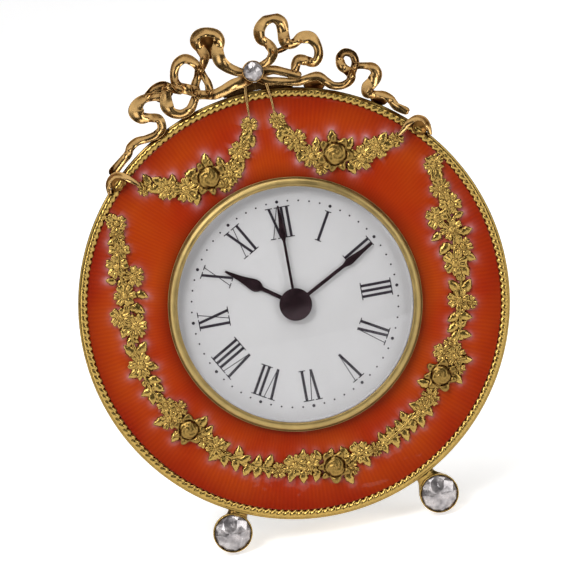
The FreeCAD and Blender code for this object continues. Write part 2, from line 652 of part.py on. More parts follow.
def screw(name, x, y, radius, length, head_radius, head_height, seat):
    """A slotless pan head screw that is driven from the back, its head under the seat."""
    shank = rod(name + "_shank", radius, x, y, seat, f"({seat}) + {length}")
    head = rod(name + "_head", head_radius, x, y, f"({seat}) - {head_height}", seat)
    return fused(name, [shank, head])


case_screws = [screw(f"case_screw_{index}", f"{across}post_side", f"{up}post_side", "case_screw_radius",
                     "case_screw_length", "case_screw_head_radius", "case_screw_head_height", "back_face")
               for index, (across, up) in enumerate(corner_signs)]
stand(grouped("back_screws", case_screws), "back_screws")

# Rim band, rope border and enamel plate
stand(turned("rim_band", [
    ("case_radius", "-band_skirt"), ("plate_radius", "-band_skirt"), ("plate_radius", "band_height"),
    ("case_radius", "band_height")]), "rim_band")


def rope_shape():
    """A ring whose inner edge is a saw of oblique rope lobes."""
    height = number("rope_height")
    teeth = int(number("rope_teeth"))
    inner_radius = number("border_inner")
    root_radius = inner_radius + number("rope_tooth_depth")
    saw = []
    for index in range(teeth):
        start = 2 * math.pi * index / teeth
        valley = start + math.pi / teeth / 2
        saw.append(vector(inner_radius * math.cos(start), inner_radius * math.sin(start), 0))
        saw.append(vector(root_radius * math.cos(valley), root_radius * math.sin(valley), 0))
    opening = Part.Face(Part.makePolygon(saw + saw[:1])).extrude(vector(0, 0, height))
    return Part.makeCylinder(number("case_radius"), height).cut(opening)


stand(drawn("rope_border", rope_shape()), "rope_border")
stand(turned("enamel_plate", [
    ("enamel_hole", "0"), ("enamel_radius", "0"), ("enamel_radius", "enamel_thickness - enamel_edge"),
    ("enamel_radius - enamel_edge", "enamel_thickness"), ("enamel_hole", "enamel_thickness")]),
    "enamel_plate")

# Bezel, crystal, ring, dial, insert cup and grip ring
stand(turned("bezel", [
    ("crystal_bore", "cup_flange + seat_gap"), ("cup_flange_radius", "cup_flange + seat_gap"),
    ("cup_flange_radius", "enamel_thickness"), ("bezel_radius", "enamel_thickness"),
    ("bezel_radius", "enamel_thickness + bezel_shoulder"),
    ("bezel_radius - bezel_lip_thickness", "bezel_top"), ("bezel_lip_radius + seat_gap", "bezel_top"),
    ("bezel_lip_radius", "lip_seat"), ("crystal_bore", "lip_seat")]), "bezel")


def dome(radius, rise, base):
    """The cap of a sphere over a disc: its edge at the base, and its top a rise above."""
    ball_radius = (radius ** 2 + rise ** 2) / (2 * rise)
    centre_height = base + rise - ball_radius
    arc = Part.Arc(vector(radius, 0, base),
                   vector(radius / 2, 0, centre_height + math.sqrt(ball_radius ** 2 - (radius / 2) ** 2)),
                   vector(0, 0, base + rise))
    return arc.toShape()


def crystal_shape():
    radius, rise = number("crystal_radius"), number("crystal_rise")
    low = number("crystal_seat")
    high = low + number("crystal_edge")
    inner = dome(radius, rise, low)
    outer = dome(radius, rise, high)
    side = Part.makeLine(vector(radius, 0, low), vector(radius, 0, high))
    middle = Part.makeLine(vector(0, 0, low + rise), vector(0, 0, high + rise))
    section = Part.Face(Part.Wire(Part.__sortEdges__([inner, side, outer, middle])))
    return section.revolve(vector(0, 0, 0), vector(0, 0, 1), 360)


stand(drawn("crystal", crystal_shape()), "crystal")
stand(tube("dial_ring", "crystal_radius", "crystal_radius - dial_ring_width", "dial_face", "crystal_seat"),
      "dial_ring")
stand(tube("dial", "dial_radius", "hour_tube_radius + loose_gap", "cup_flange", "dial_face"), "dial")

cup_shell = turned("cup_shell", [
    ("0", "cup_back"), ("cup_radius", "cup_back"), ("cup_radius", "0"),
    ("cup_flange_radius", "0"), ("cup_flange_radius", "cup_flange"),
    ("cup_bore", "cup_flange"), ("cup_bore", "cup_floor"), ("0", "cup_floor")])
derive("door_left", "battery_x - door_length / 2")
derive("door_right", "battery_x + door_length / 2")
derive("door_bottom", "battery_y - door_width / 2")
derive("door_edge", "battery_y + door_width / 2")
derive("rail_low", "door_low - seat_gap - rail_lip_thickness")
rails = []
for rail, side, inner in (("upper", "1", "door_edge"), ("lower", "-1", "door_bottom")):
    near = f"{inner} + {side} * seat_gap"
    far = f"{inner} + {side} * (seat_gap + rail_width)"
    lip = f"{inner} - {side} * rail_lip"
    sides = [(near, far), (lip, far)] if side == "1" else [(far, near), (far, lip)]
    rails.append(block(rail + "_rail", "door_left", "door_right", *sides[0], "rail_low", "cup_back"))
    rails.append(block(rail + "_rail_lip", "door_left", "door_right", *sides[1], "rail_low",
                       "rail_low + rail_lip_thickness"))
door_stop = block("door_stop", "door_right + seat_gap", "door_right + seat_gap + rail_width",
                  "door_bottom - seat_gap - rail_width", "door_edge + seat_gap + rail_width",
                  "rail_low", "cup_back")
cup_holes = fused("cup_holes", [
    rod("battery_hole", "battery_radius + loose_gap", "battery_x", "battery_y", "cup_back - overrun",
        "cup_floor + overrun"),
    rod("setting_hole", "setting_radius + running_gap", "setting_x", "setting_y", "cup_back - overrun",
        "cup_floor + overrun")])
stand(cut("insert_cup", fused("cup_with_rails", [cup_shell, door_stop] + rails), cup_holes), "insert_cup")
stand(tube("grip_ring", "cup_radius + grip_thickness", "cup_radius", "-front_sheet", "-seat_gap"), "grip_ring")

# Battery and its door
stand(turned("battery", [
    ("0", "cup_back"), ("battery_radius - battery_edge", "cup_back"),
    ("battery_radius", "cup_back + battery_edge"),
    ("battery_radius", "cup_back + battery_height - battery_shoulder"),
    ("battery_radius - battery_crown", "cup_back + battery_height"),
    ("0", "cup_back + battery_height")]), "battery", "battery_x", "battery_y")
door_sheet = block("door_sheet", "-door_length / 2", "door_length / 2", "-door_width / 2", "door_width / 2",
                   "door_low", "door_top")
door_grips = [block(f"door_grip_{index}", f"door_grip_pitch * {index} - door_grip_height",
                    f"door_grip_pitch * {index} + door_grip_height", "-door_grip_width / 2",
                    "door_grip_width / 2", "door_low - door_grip_height", "door_low")
              for index in (-3, -2, -1, 0)]
stand(fused("battery_door", [door_sheet] + door_grips), "battery_door", "battery_x", "battery_y")

# Movement plates
plate_shell = turned("plate_shell", [
    ("0", "main_plate_low"), ("main_plate_radius", "main_plate_low"), ("main_plate_radius", "cup_flange"),
    ("main_plate_bore", "cup_flange"), ("main_plate_bore", "main_plate_top"), ("0", "main_plate_top")])
pillar_turns = ("60", "175", "340")
pillars = [rod(f"pillar_{turn}", "pillar_radius", f"pillar_circle * cos({turn})",
               f"pillar_circle * sin({turn})", "bridge_top", "main_plate_low") for turn in pillar_turns]
pillar_holes = [rod(f"pillar_hole_{turn}", "movement_screw_radius + running_gap",
                    f"pillar_circle * cos({turn})", f"pillar_circle * sin({turn})", "bridge_low - overrun",
                    "bridge_low + movement_screw_length + overrun") for turn in pillar_turns]
minute_post = rod("minute_post", "minute_post_radius", "minute_x", "minute_y", "main_plate_top",
                  "hour_wheel_low + wheel_thickness / 2")
pivots = [("centre", "minute_tube_radius", "0", "0"), ("third", "arbor_radius", "third_x", "third_y"),
          ("intermediate", "arbor_radius", "intermediate_x", "intermediate_y"),
          ("rotor", "arbor_radius", "rotor_x", "rotor_y"),
          ("setting", "setting_radius", "setting_x", "setting_y")]
plate_pivots = [rod(f"plate_pivot_{name}", f"{radius} + running_gap", x, y, "main_plate_low - overrun",
                    "main_plate_top + overrun") for name, radius, x, y in pivots]
plate_base = cut("plate_base", fused("plate_pillars", [plate_shell] + pillars),
                 fused("plate_cuts", pillar_holes + plate_pivots))
stand(fused("main_plate", [plate_base, minute_post]), "main_plate")

derive("stator_top_level", "(rotor_top + rotor_low + stator_thickness) / 2")
derive("stator_low_level", "stator_top_level - stator_thickness")
bridge_disc = tube("bridge_disc", "bridge_radius", "0", "bridge_low", "bridge_top")
stator_posts = [rod(f"stator_post_{side}", "stator_post_radius", x, "-stator_top - stator_leg_width",
                    "bridge_top", "stator_low_level")
                for side, x in (("left", "stator_left + stator_leg_width / 2"),
                                ("right", "stator_right - stator_leg_width / 2"))]
pivots[0] = ("centre", "second_arbor_radius", "0", "0")
bridge_pivots = [rod(f"bridge_pivot_{name}", f"{radius} + running_gap", x, y, "bridge_low - overrun",
                     "bridge_top + overrun") for name, radius, x, y in pivots]
battery_window = rod("battery_window", "battery_radius + loose_gap", "battery_x", "battery_y",
                     "bridge_low - overrun", "bridge_top + overrun")
bridge_holes = [rod(f"bridge_hole_{turn}", "movement_screw_radius + running_gap",
                    f"pillar_circle * cos({turn})", f"pillar_circle * sin({turn})", "bridge_low - overrun",
                    "bridge_top + overrun") for turn in pillar_turns]
stand(cut("train_bridge", fused("bridge_with_posts", [bridge_disc] + stator_posts),
          fused("bridge_cuts", bridge_pivots + bridge_holes + [battery_window])), "train_bridge")
movement_screws = [screw(f"movement_screw_{turn}", f"pillar_circle * cos({turn})",
                         f"pillar_circle * sin({turn})", "movement_screw_radius", "movement_screw_length",
                         "movement_screw_head_radius", "movement_screw_head_height", "bridge_low")
                   for turn in pillar_turns]
stand(grouped("movement_screws", movement_screws), "movement_screws")

# Motor: stator, coil and its core
stator_sheet = padded("stator_sheet", [
    ("stator_left", "-stator_bottom"), ("stator_left + stator_leg_width", "-stator_bottom"),
    ("stator_left + stator_leg_width", "-stator_waist"), ("stator_right - stator_leg_width", "-stator_waist"),
    ("stator_right - stator_leg_width", "-stator_bottom"), ("stator_right", "-stator_bottom"),
    ("stator_right", "-stator_top"), ("stator_left", "-stator_top")], "stator_low_level", "stator_top_level")
rotor_window = rod("rotor_window", "rotor_radius + loose_gap", "rotor_x", "rotor_y",
                   "stator_low_level - overrun", "stator_top_level + overrun")
stand(cut("stator", stator_sheet, rotor_window), "stator")
derive("coil_line", "-(stator_bottom - stator_leg_width / 2)")
derive("coil_level", "stator_top_level + coil_core_width / 2")
stand(block("coil_core", "stator_left", "stator_right", "coil_line - coil_core_width / 2",
            "coil_line + coil_core_width / 2", "stator_top_level", "stator_top_level + coil_core_width"),
      "coil_core")
winding = cross_rod("winding_body", "coil_radius", "stator_left + stator_leg_width + coil_end_gap",
                    "stator_right - stator_leg_width - coil_end_gap", "coil_line", "coil_level")
winding_slot = block("winding_slot", "stator_left", "stator_right", "coil_line - coil_core_width / 2",
                     "coil_line + coil_core_width / 2", "stator_top_level",
                     "stator_top_level + coil_core_width")
stand(cut("coil_winding", winding, winding_slot), "coil_winding")

# Circuit board, quartz can and battery contacts
stand(block("circuit_board", "board_left", "board_right", "board_bottom", "board_top",
            "bridge_low - board_thickness", "bridge_low"), "circuit_board")
derive("quartz_level", "bridge_low - board_thickness - quartz_radius")
derive("board_middle", "(board_left + board_right) / 2")
stand(grouped("quartz_can", [cross_rod(
    "quartz_rod", "quartz_radius", "board_middle - quartz_length / 2", "board_middle + quartz_length / 2",
    "(board_bottom + board_top) / 2", "quartz_level")]), "quartz_can")
derive("battery_top", "cup_back + battery_height")
stand(turned("contact_minus", [
    ("0", "battery_top"), ("contact_width / 2", "battery_top"),
    ("contact_width", "main_plate_low - contact_thickness"), ("contact_width", "main_plate_low"),
    ("0", "main_plate_low")]), "contact_minus", "battery_x", "battery_y")
derive("contact_left", "battery_x + battery_radius")
stand(block("contact_plus", "contact_left", "contact_left + contact_thickness", "battery_y - contact_width / 2",
            "battery_y + contact_width / 2", "cup_floor", "bridge_low"), "contact_plus")


def tooth_ring(teeth, pitch_radius, module):
    """A gear's outline: the tooth flanks are two straight runs that meet on the pitch circle."""
    tip_radius = pitch_radius + tip_height_share * module
    root_radius = pitch_radius - root_depth_share * module
    flank = [(root_radius, tooth_root_share), (pitch_radius, half_tooth_share), (tip_radius, tooth_tip_share)]
    corners = []
    for index in range(teeth):
        middle = 2 * math.pi * index / teeth
        for side, run in ((-1, flank), (1, flank[::-1])):
            for radius, share in run:
                angle = middle + side * share * math.pi / teeth
                corners.append(vector(radius * math.cos(angle), radius * math.sin(angle), 0))
    return Part.makePolygon(corners + corners[:1])


def gear(own_teeth, other_teeth, distance, turn, low, high):
    """One gear of a pair, turned to its place in the mesh, between two levels."""
    teeth, others = int(number(own_teeth)), int(number(other_teeth))
    module = 2 * number(distance) / (teeth + others)
    face = Part.Face(tooth_ring(teeth, module * teeth / 2, module))
    face.rotate(vector(0, 0, 0), vector(0, 0, 1), turn)
    face.translate(vector(0, 0, number(low)))
    return face.extrude(vector(0, 0, number(high) - number(low)))


def mesh_turn(first_teeth, first_turn, direction, second_teeth):
    """The turn that puts a gap of the second gear on a tooth of the first, in that direction."""
    phase = (direction - first_turn) * number(first_teeth) / 360
    return direction + 180 - (0.5 - phase) * 360 / number(second_teeth)


def shaft(radius, low, high):
    return Part.makeCylinder(radius, number(high) - number(low), vector(0, 0, number(low)))


def bored(shape, radius, low, high):
    """The shape with a hole right through, past both levels."""
    spare = number("overrun")
    return shape.cut(Part.makeCylinder(radius, number(high) - number(low) + 2 * spare,
                                       vector(0, 0, number(low) - spare)))


# Motion work under the dial
cannon = gear("cannon_teeth", "minute_teeth", "minute_distance", 0, "minute_wheel_low", "minute_wheel_top")
minute_tube = shaft(number("minute_tube_radius"), "centre_wheel_low", "minute_hand_level + hand_thickness")
stand(drawn("cannon_pinion", bored(cannon.fuse(minute_tube), number("second_arbor_radius + tube_gap"),
                                   "centre_wheel_low", "second_hand_level")), "cannon_pinion")
minute_turn = mesh_turn("cannon_teeth", 0, number("minute_angle"), "minute_teeth")
minute_disc = gear("minute_teeth", "cannon_teeth", "minute_distance", minute_turn, "minute_wheel_low",
                   "minute_wheel_top")
minute_pinion = gear("minute_pinion_teeth", "hour_teeth", "minute_distance", 0, "minute_wheel_top",
                     "hour_wheel_top")
stand(drawn("minute_wheel", bored(minute_disc.fuse(minute_pinion), number("minute_post_radius + running_gap"),
                                  "minute_wheel_low", "hour_wheel_top")),
      "minute_wheel", "minute_x", "minute_y")
hour_turn = mesh_turn("minute_pinion_teeth", 0, number("minute_angle + 180"), "hour_teeth")
hour_disc = gear("hour_teeth", "minute_pinion_teeth", "minute_distance", hour_turn, "hour_wheel_low",
                 "hour_wheel_top")
hour_tube = shaft(number("hour_tube_radius"), "hour_wheel_low", "hour_hand_level + hand_thickness")
stand(drawn("hour_wheel", bored(hour_disc.fuse(hour_tube), number("minute_tube_radius + tube_gap"),
                                "hour_wheel_low", "hour_hand_level + hand_thickness")), "hour_wheel")
setting_mesh_turn = mesh_turn("minute_teeth", minute_turn, number("setting_turn"), "setting_teeth")
setting_gear = gear("setting_teeth", "minute_teeth", "setting_distance", setting_mesh_turn, "minute_wheel_low",
                    "minute_wheel_top")
derive("knob_top", "cup_back - loose_gap")
derive("knob_low", "knob_top - knob_thickness")
setting_shaft = shaft(number("setting_radius"), "knob_low + knob_thickness / 2", "minute_wheel_top")
stand(drawn("setting_arbor", setting_gear.fuse(setting_shaft)), "setting_arbor", "setting_x", "setting_y")

# Train from the rotor to the centre wheel
centre_disc = gear("centre_teeth", "third_pinion_teeth", "third_distance", 0, "centre_wheel_low",
                   "centre_wheel_top")
stand(drawn("centre_wheel", bored(centre_disc, number("minute_tube_radius + running_gap"),
                                  "centre_wheel_low", "centre_wheel_top")), "centre_wheel")
third_pinion_turn = mesh_turn("centre_teeth", 0, number("third_angle"), "third_pinion_teeth")
third_pinion = gear("third_pinion_teeth", "centre_teeth", "third_distance", third_pinion_turn,
                    "third_wheel_top", "centre_wheel_top")
third_turn = mesh_turn("second_pinion_teeth", 0, number("third_angle"), "third_teeth")
third_disc = gear("third_teeth", "second_pinion_teeth", "third_distance", third_turn, "third_wheel_low",
                  "third_wheel_top")
third_shaft = shaft(number("arbor_radius"), "bridge_low", "main_plate_top")
stand(drawn("third_wheel", third_pinion.fuse([third_disc, third_shaft])), "third_wheel", "third_x", "third_y")
second_pinion = gear("second_pinion_teeth", "third_teeth", "third_distance", 0, "second_wheel_top",
                     "third_wheel_top")
second_disc = gear("second_teeth", "intermediate_pinion_teeth", "intermediate_distance", 0, "second_wheel_low",
                   "second_wheel_top")
second_shaft = shaft(number("second_arbor_radius"), "bridge_low", "second_hand_top")
stand(drawn("seconds_wheel", second_pinion.fuse([second_disc, second_shaft])), "seconds_wheel")
intermediate_pinion_turn = mesh_turn("second_teeth", 0, number("intermediate_angle"),
                                     "intermediate_pinion_teeth")
intermediate_pinion = gear("intermediate_pinion_teeth", "second_teeth", "intermediate_distance",
                           intermediate_pinion_turn, "intermediate_top", "second_wheel_top")
intermediate_disc = gear("intermediate_teeth", "rotor_pinion_teeth", "rotor_distance", 0, "intermediate_low",
                         "intermediate_top")
intermediate_shaft = shaft(number("arbor_radius"), "bridge_low", "main_plate_top")
stand(drawn("intermediate_wheel", intermediate_pinion.fuse([intermediate_disc, intermediate_shaft])),
      "intermediate_wheel", "intermediate_x", "intermediate_y")
rotor_pinion_turn = mesh_turn("intermediate_teeth", 0, number("rotor_turn"), "rotor_pinion_teeth")
rotor_pinion = gear("rotor_pinion_teeth", "intermediate_teeth", "rotor_distance", rotor_pinion_turn,
                    "rotor_top", "intermediate_top")
rotor_magnet = shaft(number("rotor_radius"), "rotor_low", "rotor_top")
rotor_shaft = shaft(number("arbor_radius"), "bridge_low", "main_plate_top")
stand(drawn("rotor", rotor_pinion.fuse([rotor_magnet, rotor_shaft])), "rotor", "rotor_x", "rotor_y")


def knob_shape():
    """A fluted knob with a blind seat for its arbor."""
    radius = number("knob_radius")
    flute = number("knob_flute_depth")
    flutes = int(number("knob_flutes"))
    corners = []
    for index in range(2 * flutes):
        angle = math.pi * index / flutes
        reach = radius - flute * (index % 2)
        corners.append(vector(reach * math.cos(angle), reach * math.sin(angle), number("knob_low")))
    solid = Part.Face(Part.makePolygon(corners + corners[:1])).extrude(vector(0, 0, number("knob_thickness")))
    seat = Part.makeCylinder(number("setting_radius"), number("knob_thickness"),
                             vector(0, 0, number("knob_low + knob_thickness / 2")))
    return solid.cut(seat)


stand(drawn("setting_knob", knob_shape()), "setting_knob", "setting_x", "setting_y")


def band_face(stations):
    """A strip of changing width along a smooth line, from stations of x, y and width."""
    left, right = [], []
    last = len(stations) - 1
    for index, (x, y, width) in enumerate(stations):
        before, after = stations[max(index - 1, 0)], stations[min(index + 1, last)]
        run = vector(after[0] - before[0], after[1] - before[1], 0).normalize()
        side = vector(-run.y, run.x, 0) * (width / 2)
        left.append(vector(x, y, 0) + side)
        right.append(vector(x, y, 0) - side)
    left_curve, right_curve = Part.BSplineCurve(), Part.BSplineCurve()
    left_curve.interpolate(left)
    right_curve.interpolate(right)
    edges = [left_curve.toShape(), Part.makeLine(left[-1], right[-1]), right_curve.toShape(),
             Part.makeLine(right[0], left[0])]
    return Part.Face(Part.Wire(Part.__sortEdges__(edges)))


def straight_band(points, width):
    """A strip of one width along straight runs."""
    left, right = [], []
    last = len(points) - 1
    for index, point in enumerate(points):
        run = (points[min(index + 1, last)] - points[max(index - 1, 0)]).normalize()
        side = vector(-run.y, run.x, 0) * (width / 2)
        left.append(point + side)
        right.append(point - side)
    ring = left + right[::-1]
    return Part.Face(Part.makePolygon(ring + ring[:1]))


def raised(face, low, high):
    lifted = face.copy()
    lifted.translate(vector(0, 0, low))
    return lifted.extrude(vector(0, 0, high - low))


def hand_shape(outline_shares, length, width, boss, bore, angle, low):
    """A flat hand: its blade, a short tail and a boss round its arbor."""
    reach, breadth = number(length), number(width)
    thickness = number("hand_thickness")
    stations = [(0, reach * along, breadth * wide) for along, wide in outline_shares]
    tail = [(0, -reach * hand_tail_share, stations[0][2]), (0, 0, stations[0][2])]
    level = number(low)
    shape = raised(band_face(stations), level, level + thickness).fuse([
        raised(band_face(tail), level, level + thickness),
        Part.makeCylinder(number(boss), thickness, vector(0, 0, level))])
    shape.rotate(vector(0, 0, 0), vector(0, 0, 1), -number(angle))
    return shape.cut(Part.makeCylinder(number(bore), thickness, vector(0, 0, level)))


stand(drawn("hour_hand", hand_shape(hour_hand_shares, "hour_hand_length", "hour_hand_width", "hour_hand_boss",
                                    "hour_tube_radius", "hour_hand_angle", "hour_hand_level")), "hour_hand")
stand(drawn("minute_hand", hand_shape(long_hand_shares, "minute_hand_length", "minute_hand_width",
                                      "minute_hand_boss", "minute_tube_radius", "minute_hand_angle",
                                      "minute_hand_level")), "minute_hand")
stand(drawn("second_hand", hand_shape(long_hand_shares, "second_hand_length", "second_hand_width",
                                      "second_hand_boss", "second_arbor_radius", "second_hand_angle",
                                      "second_hand_level")), "second_hand")
cap_base, cap_rise = number("second_hand_top + cap_edge"), number("cap_rise")
cap_edges = [dome(number("cap_radius"), cap_rise, cap_base),
             Part.makeLine(vector(number("cap_radius"), 0, cap_base),
                           vector(number("cap_radius"), 0, number("second_hand_top"))),
             Part.makeLine(vector(number("cap_radius"), 0, number("second_hand_top")),
                           vector(0, 0, number("second_hand_top"))),
             Part.makeLine(vector(0, 0, number("second_hand_top")), vector(0, 0, cap_base + cap_rise))]
cap_section = Part.Face(Part.Wire(Part.__sortEdges__(cap_edges)))
stand(drawn("hand_cap", cap_section.revolve(vector(0, 0, 0), vector(0, 0, 1), 360)), "hand_cap")

# Feet: collets soldered to the rim, each with a round stone
for side, sign in (("left", "-"), ("right", "")):
    foot_cup = turned(f"foot_cup_{side}", [
        ("0", "-foot_collet_depth"), ("foot_collet_radius", "-foot_collet_depth"),
        ("foot_collet_radius", "foot_collet_front"), ("foot_stone_radius + seat_gap", "foot_collet_front"),
        ("foot_stone_radius + seat_gap", "-foot_collet_depth / 2"), ("0", "-foot_collet_depth * 3 / 4")])
    foot_cup.setExpression("Placement.Base.x", bind(f"{sign}foot_spread"))
    foot_cup.setExpression("Placement.Base.y", bind("-foot_drop"))
    tab = block(f"foot_tab_{side}", f"{sign}foot_spread - foot_tab_width / 2",
                f"{sign}foot_spread + foot_tab_width / 2",
                "-foot_drop + (foot_collet_radius + foot_stone_radius) / 2",
                "-foot_drop + foot_collet_radius * 3 / 2", "-band_skirt", "band_height / 2")
    rim_space = rod(f"foot_rim_space_{side}", "plate_radius + seat_gap", "0", "0", "-case_depth", "case_depth")
    stand(cut(f"foot_collet_{side}", fused(f"foot_with_tab_{side}", [foot_cup, tab]), rim_space),
          f"foot_collet_{side}")
    stand(turned(f"foot_stone_{side}", [
        ("0", "seat_gap - foot_collet_depth * 3 / 4"),
        ("foot_stone_radius", "seat_gap - foot_collet_depth / 2"),
        ("foot_stone_radius", "foot_collet_front - seat_gap * 4"),
        ("foot_stone_radius * 2 / 3", "foot_collet_front + foot_stone_rise"),
        ("0", "foot_collet_front + foot_stone_rise")]),
        f"foot_stone_{side}", f"{sign}foot_spread", "-foot_drop")

# Bow: its collet and stone, the saddle on the rim, the ribbons and the tail wires
stand(turned("bow_collet", [
    ("0", "-ribbon_back"), ("bow_collet_radius", "-ribbon_back"), ("bow_collet_radius", "bow_collet_front"),
    ("bow_stone_radius + seat_gap", "bow_collet_front"),
    ("bow_stone_radius + seat_gap", "bow_collet_front / 2"), ("0", "bow_collet_front / 4")]),
    "bow_collet", "0", "bow_height")
stand(turned("bow_stone", [
    ("0", "bow_collet_front / 4 + seat_gap"), ("bow_stone_radius", "bow_collet_front / 2 + seat_gap"),
    ("bow_stone_radius", "bow_collet_front - seat_gap"),
    ("bow_stone_radius * 2 / 3", "bow_collet_front + bow_stone_rise"),
    ("0", "bow_collet_front + bow_stone_rise")]), "bow_stone", "0", "bow_height")

rim_cylinder = Part.makeCylinder(number("plate_radius + seat_gap"), 2 * number("case_depth"),
                                 vector(0, 0, number("back_face")))
knot_cylinder = Part.makeCylinder(number("bow_collet_radius + seat_gap"), 2 * number("case_depth"),
                                  vector(0, number("bow_height"), number("back_face")))


def saddle_shape():
    """A short curved plate between the rim and the knot of the bow."""
    radius = number("plate_radius")
    half = radius * saddle_half_share
    plate = Part.makeBox(2 * half, number("saddle_height + seat_gap"), number("ribbon_back + saddle_front"),
                         vector(-half, math.sqrt(radius ** 2 - half ** 2), -number("ribbon_back")))
    return plate.fuse(Part.makeBox(half, number("saddle_height"), number("ribbon_back + saddle_front"),
                                   vector(-half / 2, radius, -number("ribbon_back")))).cut(
                                       rim_cylinder.fuse(knot_cylinder))


saddle = saddle_shape()
stand(drawn("bow_saddle", saddle), "bow_saddle")


def ribbon_shape(strand_shares, low, high):
    """Strands of one ribbon, each a strip on edge, joined where they cross."""
    radius = number("plate_radius")
    strips = [raised(band_face([tuple(share * radius for share in station) for station in strand]), low, high)
              for strand in strand_shares]
    return strips[0].fuse(strips[1:]) if strips[1:] else strips[0]


ribbon_low, ribbon_high = -number("ribbon_back"), number("ribbon_front")
ribbons = {}
for name, strand_shares in (("bow_left", left_loop_shares + left_lower_shares),
                            ("bow_right", right_loop_shares + right_lower_shares)):
    strips = ribbon_shape(strand_shares, ribbon_low, ribbon_high)
    ribbons[name] = strips.cut([rim_cylinder, knot_cylinder, saddle])
    stand(drawn(name, ribbons[name]), name)

field_inner, field_outer = number("bezel_radius"), number("border_inner")
field_scale = (field_outer - field_inner) / (field_outer_share - field_inner_share)


def field_spot(x, y):
    """The place of a garland's point, which keeps its share of the way from bezel to border."""
    share = math.hypot(x, y)
    reach = field_inner + (share - field_inner_share) * field_scale
    return vector(x, y, 0) * (reach / share)


# Tail wires: from the bow down over the border, to the top flowers of the swags
wire_radius, wire_level = number("tail_wire_radius"), number("rope_height + tail_wire_radius")
wire_start = tail_wire_start_share * number("plate_radius")
wire_end = field_spot(0, tail_wire_end_share).y
wires = [Part.makeCylinder(wire_radius, wire_start - wire_end,
                           vector(side * number("tail_wire_spread"), wire_end, wire_level),
                           vector(0, 1, 0)).cut(list(ribbons.values())) for side in (-1, 1)]
stand(drawn("tail_wires", Part.makeCompound(wires)), "tail_wires")

# Garlands
enamel_top = number("enamel_thickness")


def flower_shape(x, y, radius):
    """Five round petals about a raised heart."""
    outline = []
    for index in range(5):
        start, middle, end = (math.radians(72 * index + 36 * step + 90) for step in (-1, 0, 1))
        valley = radius * petal_valley_share
        outline.append(Part.Arc(
            vector(x + valley * math.cos(start), y + valley * math.sin(start), enamel_top),
            vector(x + radius * math.cos(middle), y + radius * math.sin(middle), enamel_top),
            vector(x + valley * math.cos(end), y + valley * math.sin(end), enamel_top)).toShape())
    petals = Part.Face(Part.Wire(outline)).extrude(vector(0, 0, number("petal_height")))
    heart = Part.makeCone(radius * heart_share, radius * heart_top_share, number("heart_height"),
                          vector(x, y, enamel_top))
    return [petals, heart]


def rose_shape(x, y, radius):
    """A ball of petals on a star of sepals."""
    sepals = flower_shape(x, y, radius)[0]
    ball = Part.makeCone(radius * rose_ball_share, radius * rose_top_share, number("rose_height"),
                         vector(x, y, enamel_top))
    return [sepals, ball]


def leaf_shape(x, y, length, direction):
    """A pointed leaf between two arcs."""
    along = vector(math.cos(math.radians(direction)), math.sin(math.radians(direction)), 0) * (length / 2)
    across = vector(-along.y, along.x, 0) * (2 * leaf_width_share)
    middle = vector(x, y, enamel_top)
    edges = [Part.Arc(middle - along, middle + across, middle + along).toShape(),
             Part.Arc(middle + along, middle - across, middle - along).toShape()]
    return Part.Face(Part.Wire(edges)).extrude(vector(0, 0, number("leaf_height")))


def garland_shape(flowers, roses, leaves, stems):
    """Flowers, roses and leaves along their stems, fused into one relief."""
    radius = number("plate_radius")
    pieces = []
    for x, y, size_share in flowers:
        spot = field_spot(x, y)
        pieces += flower_shape(spot.x, spot.y, size_share * radius)
    for x, y, size_share in roses:
        spot = field_spot(x, y)
        pieces += rose_shape(spot.x, spot.y, size_share * radius)
    for x, y, length_share, direction in leaves:
        spot = field_spot(x, y)
        pieces.append(leaf_shape(spot.x, spot.y, length_share * radius, direction))
    for stem in stems:
        points = [field_spot(x, y) for x, y in stem]
        strip = straight_band(points, number("stem_width"))
        pieces.append(raised(strip, enamel_top, enamel_top + number("stem_height")))
    return pieces[0].fuse(pieces[1:])


garlands = {}
for name, flowers, roses, leaves, stems in (
        ("swag_left", swag_left_flower_shares, swag_left_rose_shares, swag_left_leaf_shares,
         swag_left_stem_shares),
        ("swag_right", swag_right_flower_shares, swag_right_rose_shares, swag_right_leaf_shares,
         swag_right_stem_shares),
        ("garland_left", garland_left_flower_shares, garland_left_rose_shares, garland_left_leaf_shares,
         garland_left_stem_shares),
        ("garland_right", garland_right_flower_shares, garland_right_rose_shares, garland_right_leaf_shares,
         garland_right_stem_shares)):
    garlands[name] = garland_shape(flowers, roses, leaves, stems)
    stand(drawn(name, garlands[name]), name)

# The ends of the ribbon that lie over the border, fitted round the swags and the bow
loop_low = number("rope_height")
loop_high = loop_low + number("rim_loop_height")
for side, strand_shares in (("left", left_rim_loop_shares), ("right", right_rim_loop_shares)):
    loop = ribbon_shape(strand_shares, loop_low, loop_high)
    stand(drawn(f"rim_loop_{side}", loop.cut([garlands[f"swag_{side}"], ribbons[f"bow_{side}"]])),
          f"rim_loop_{side}")

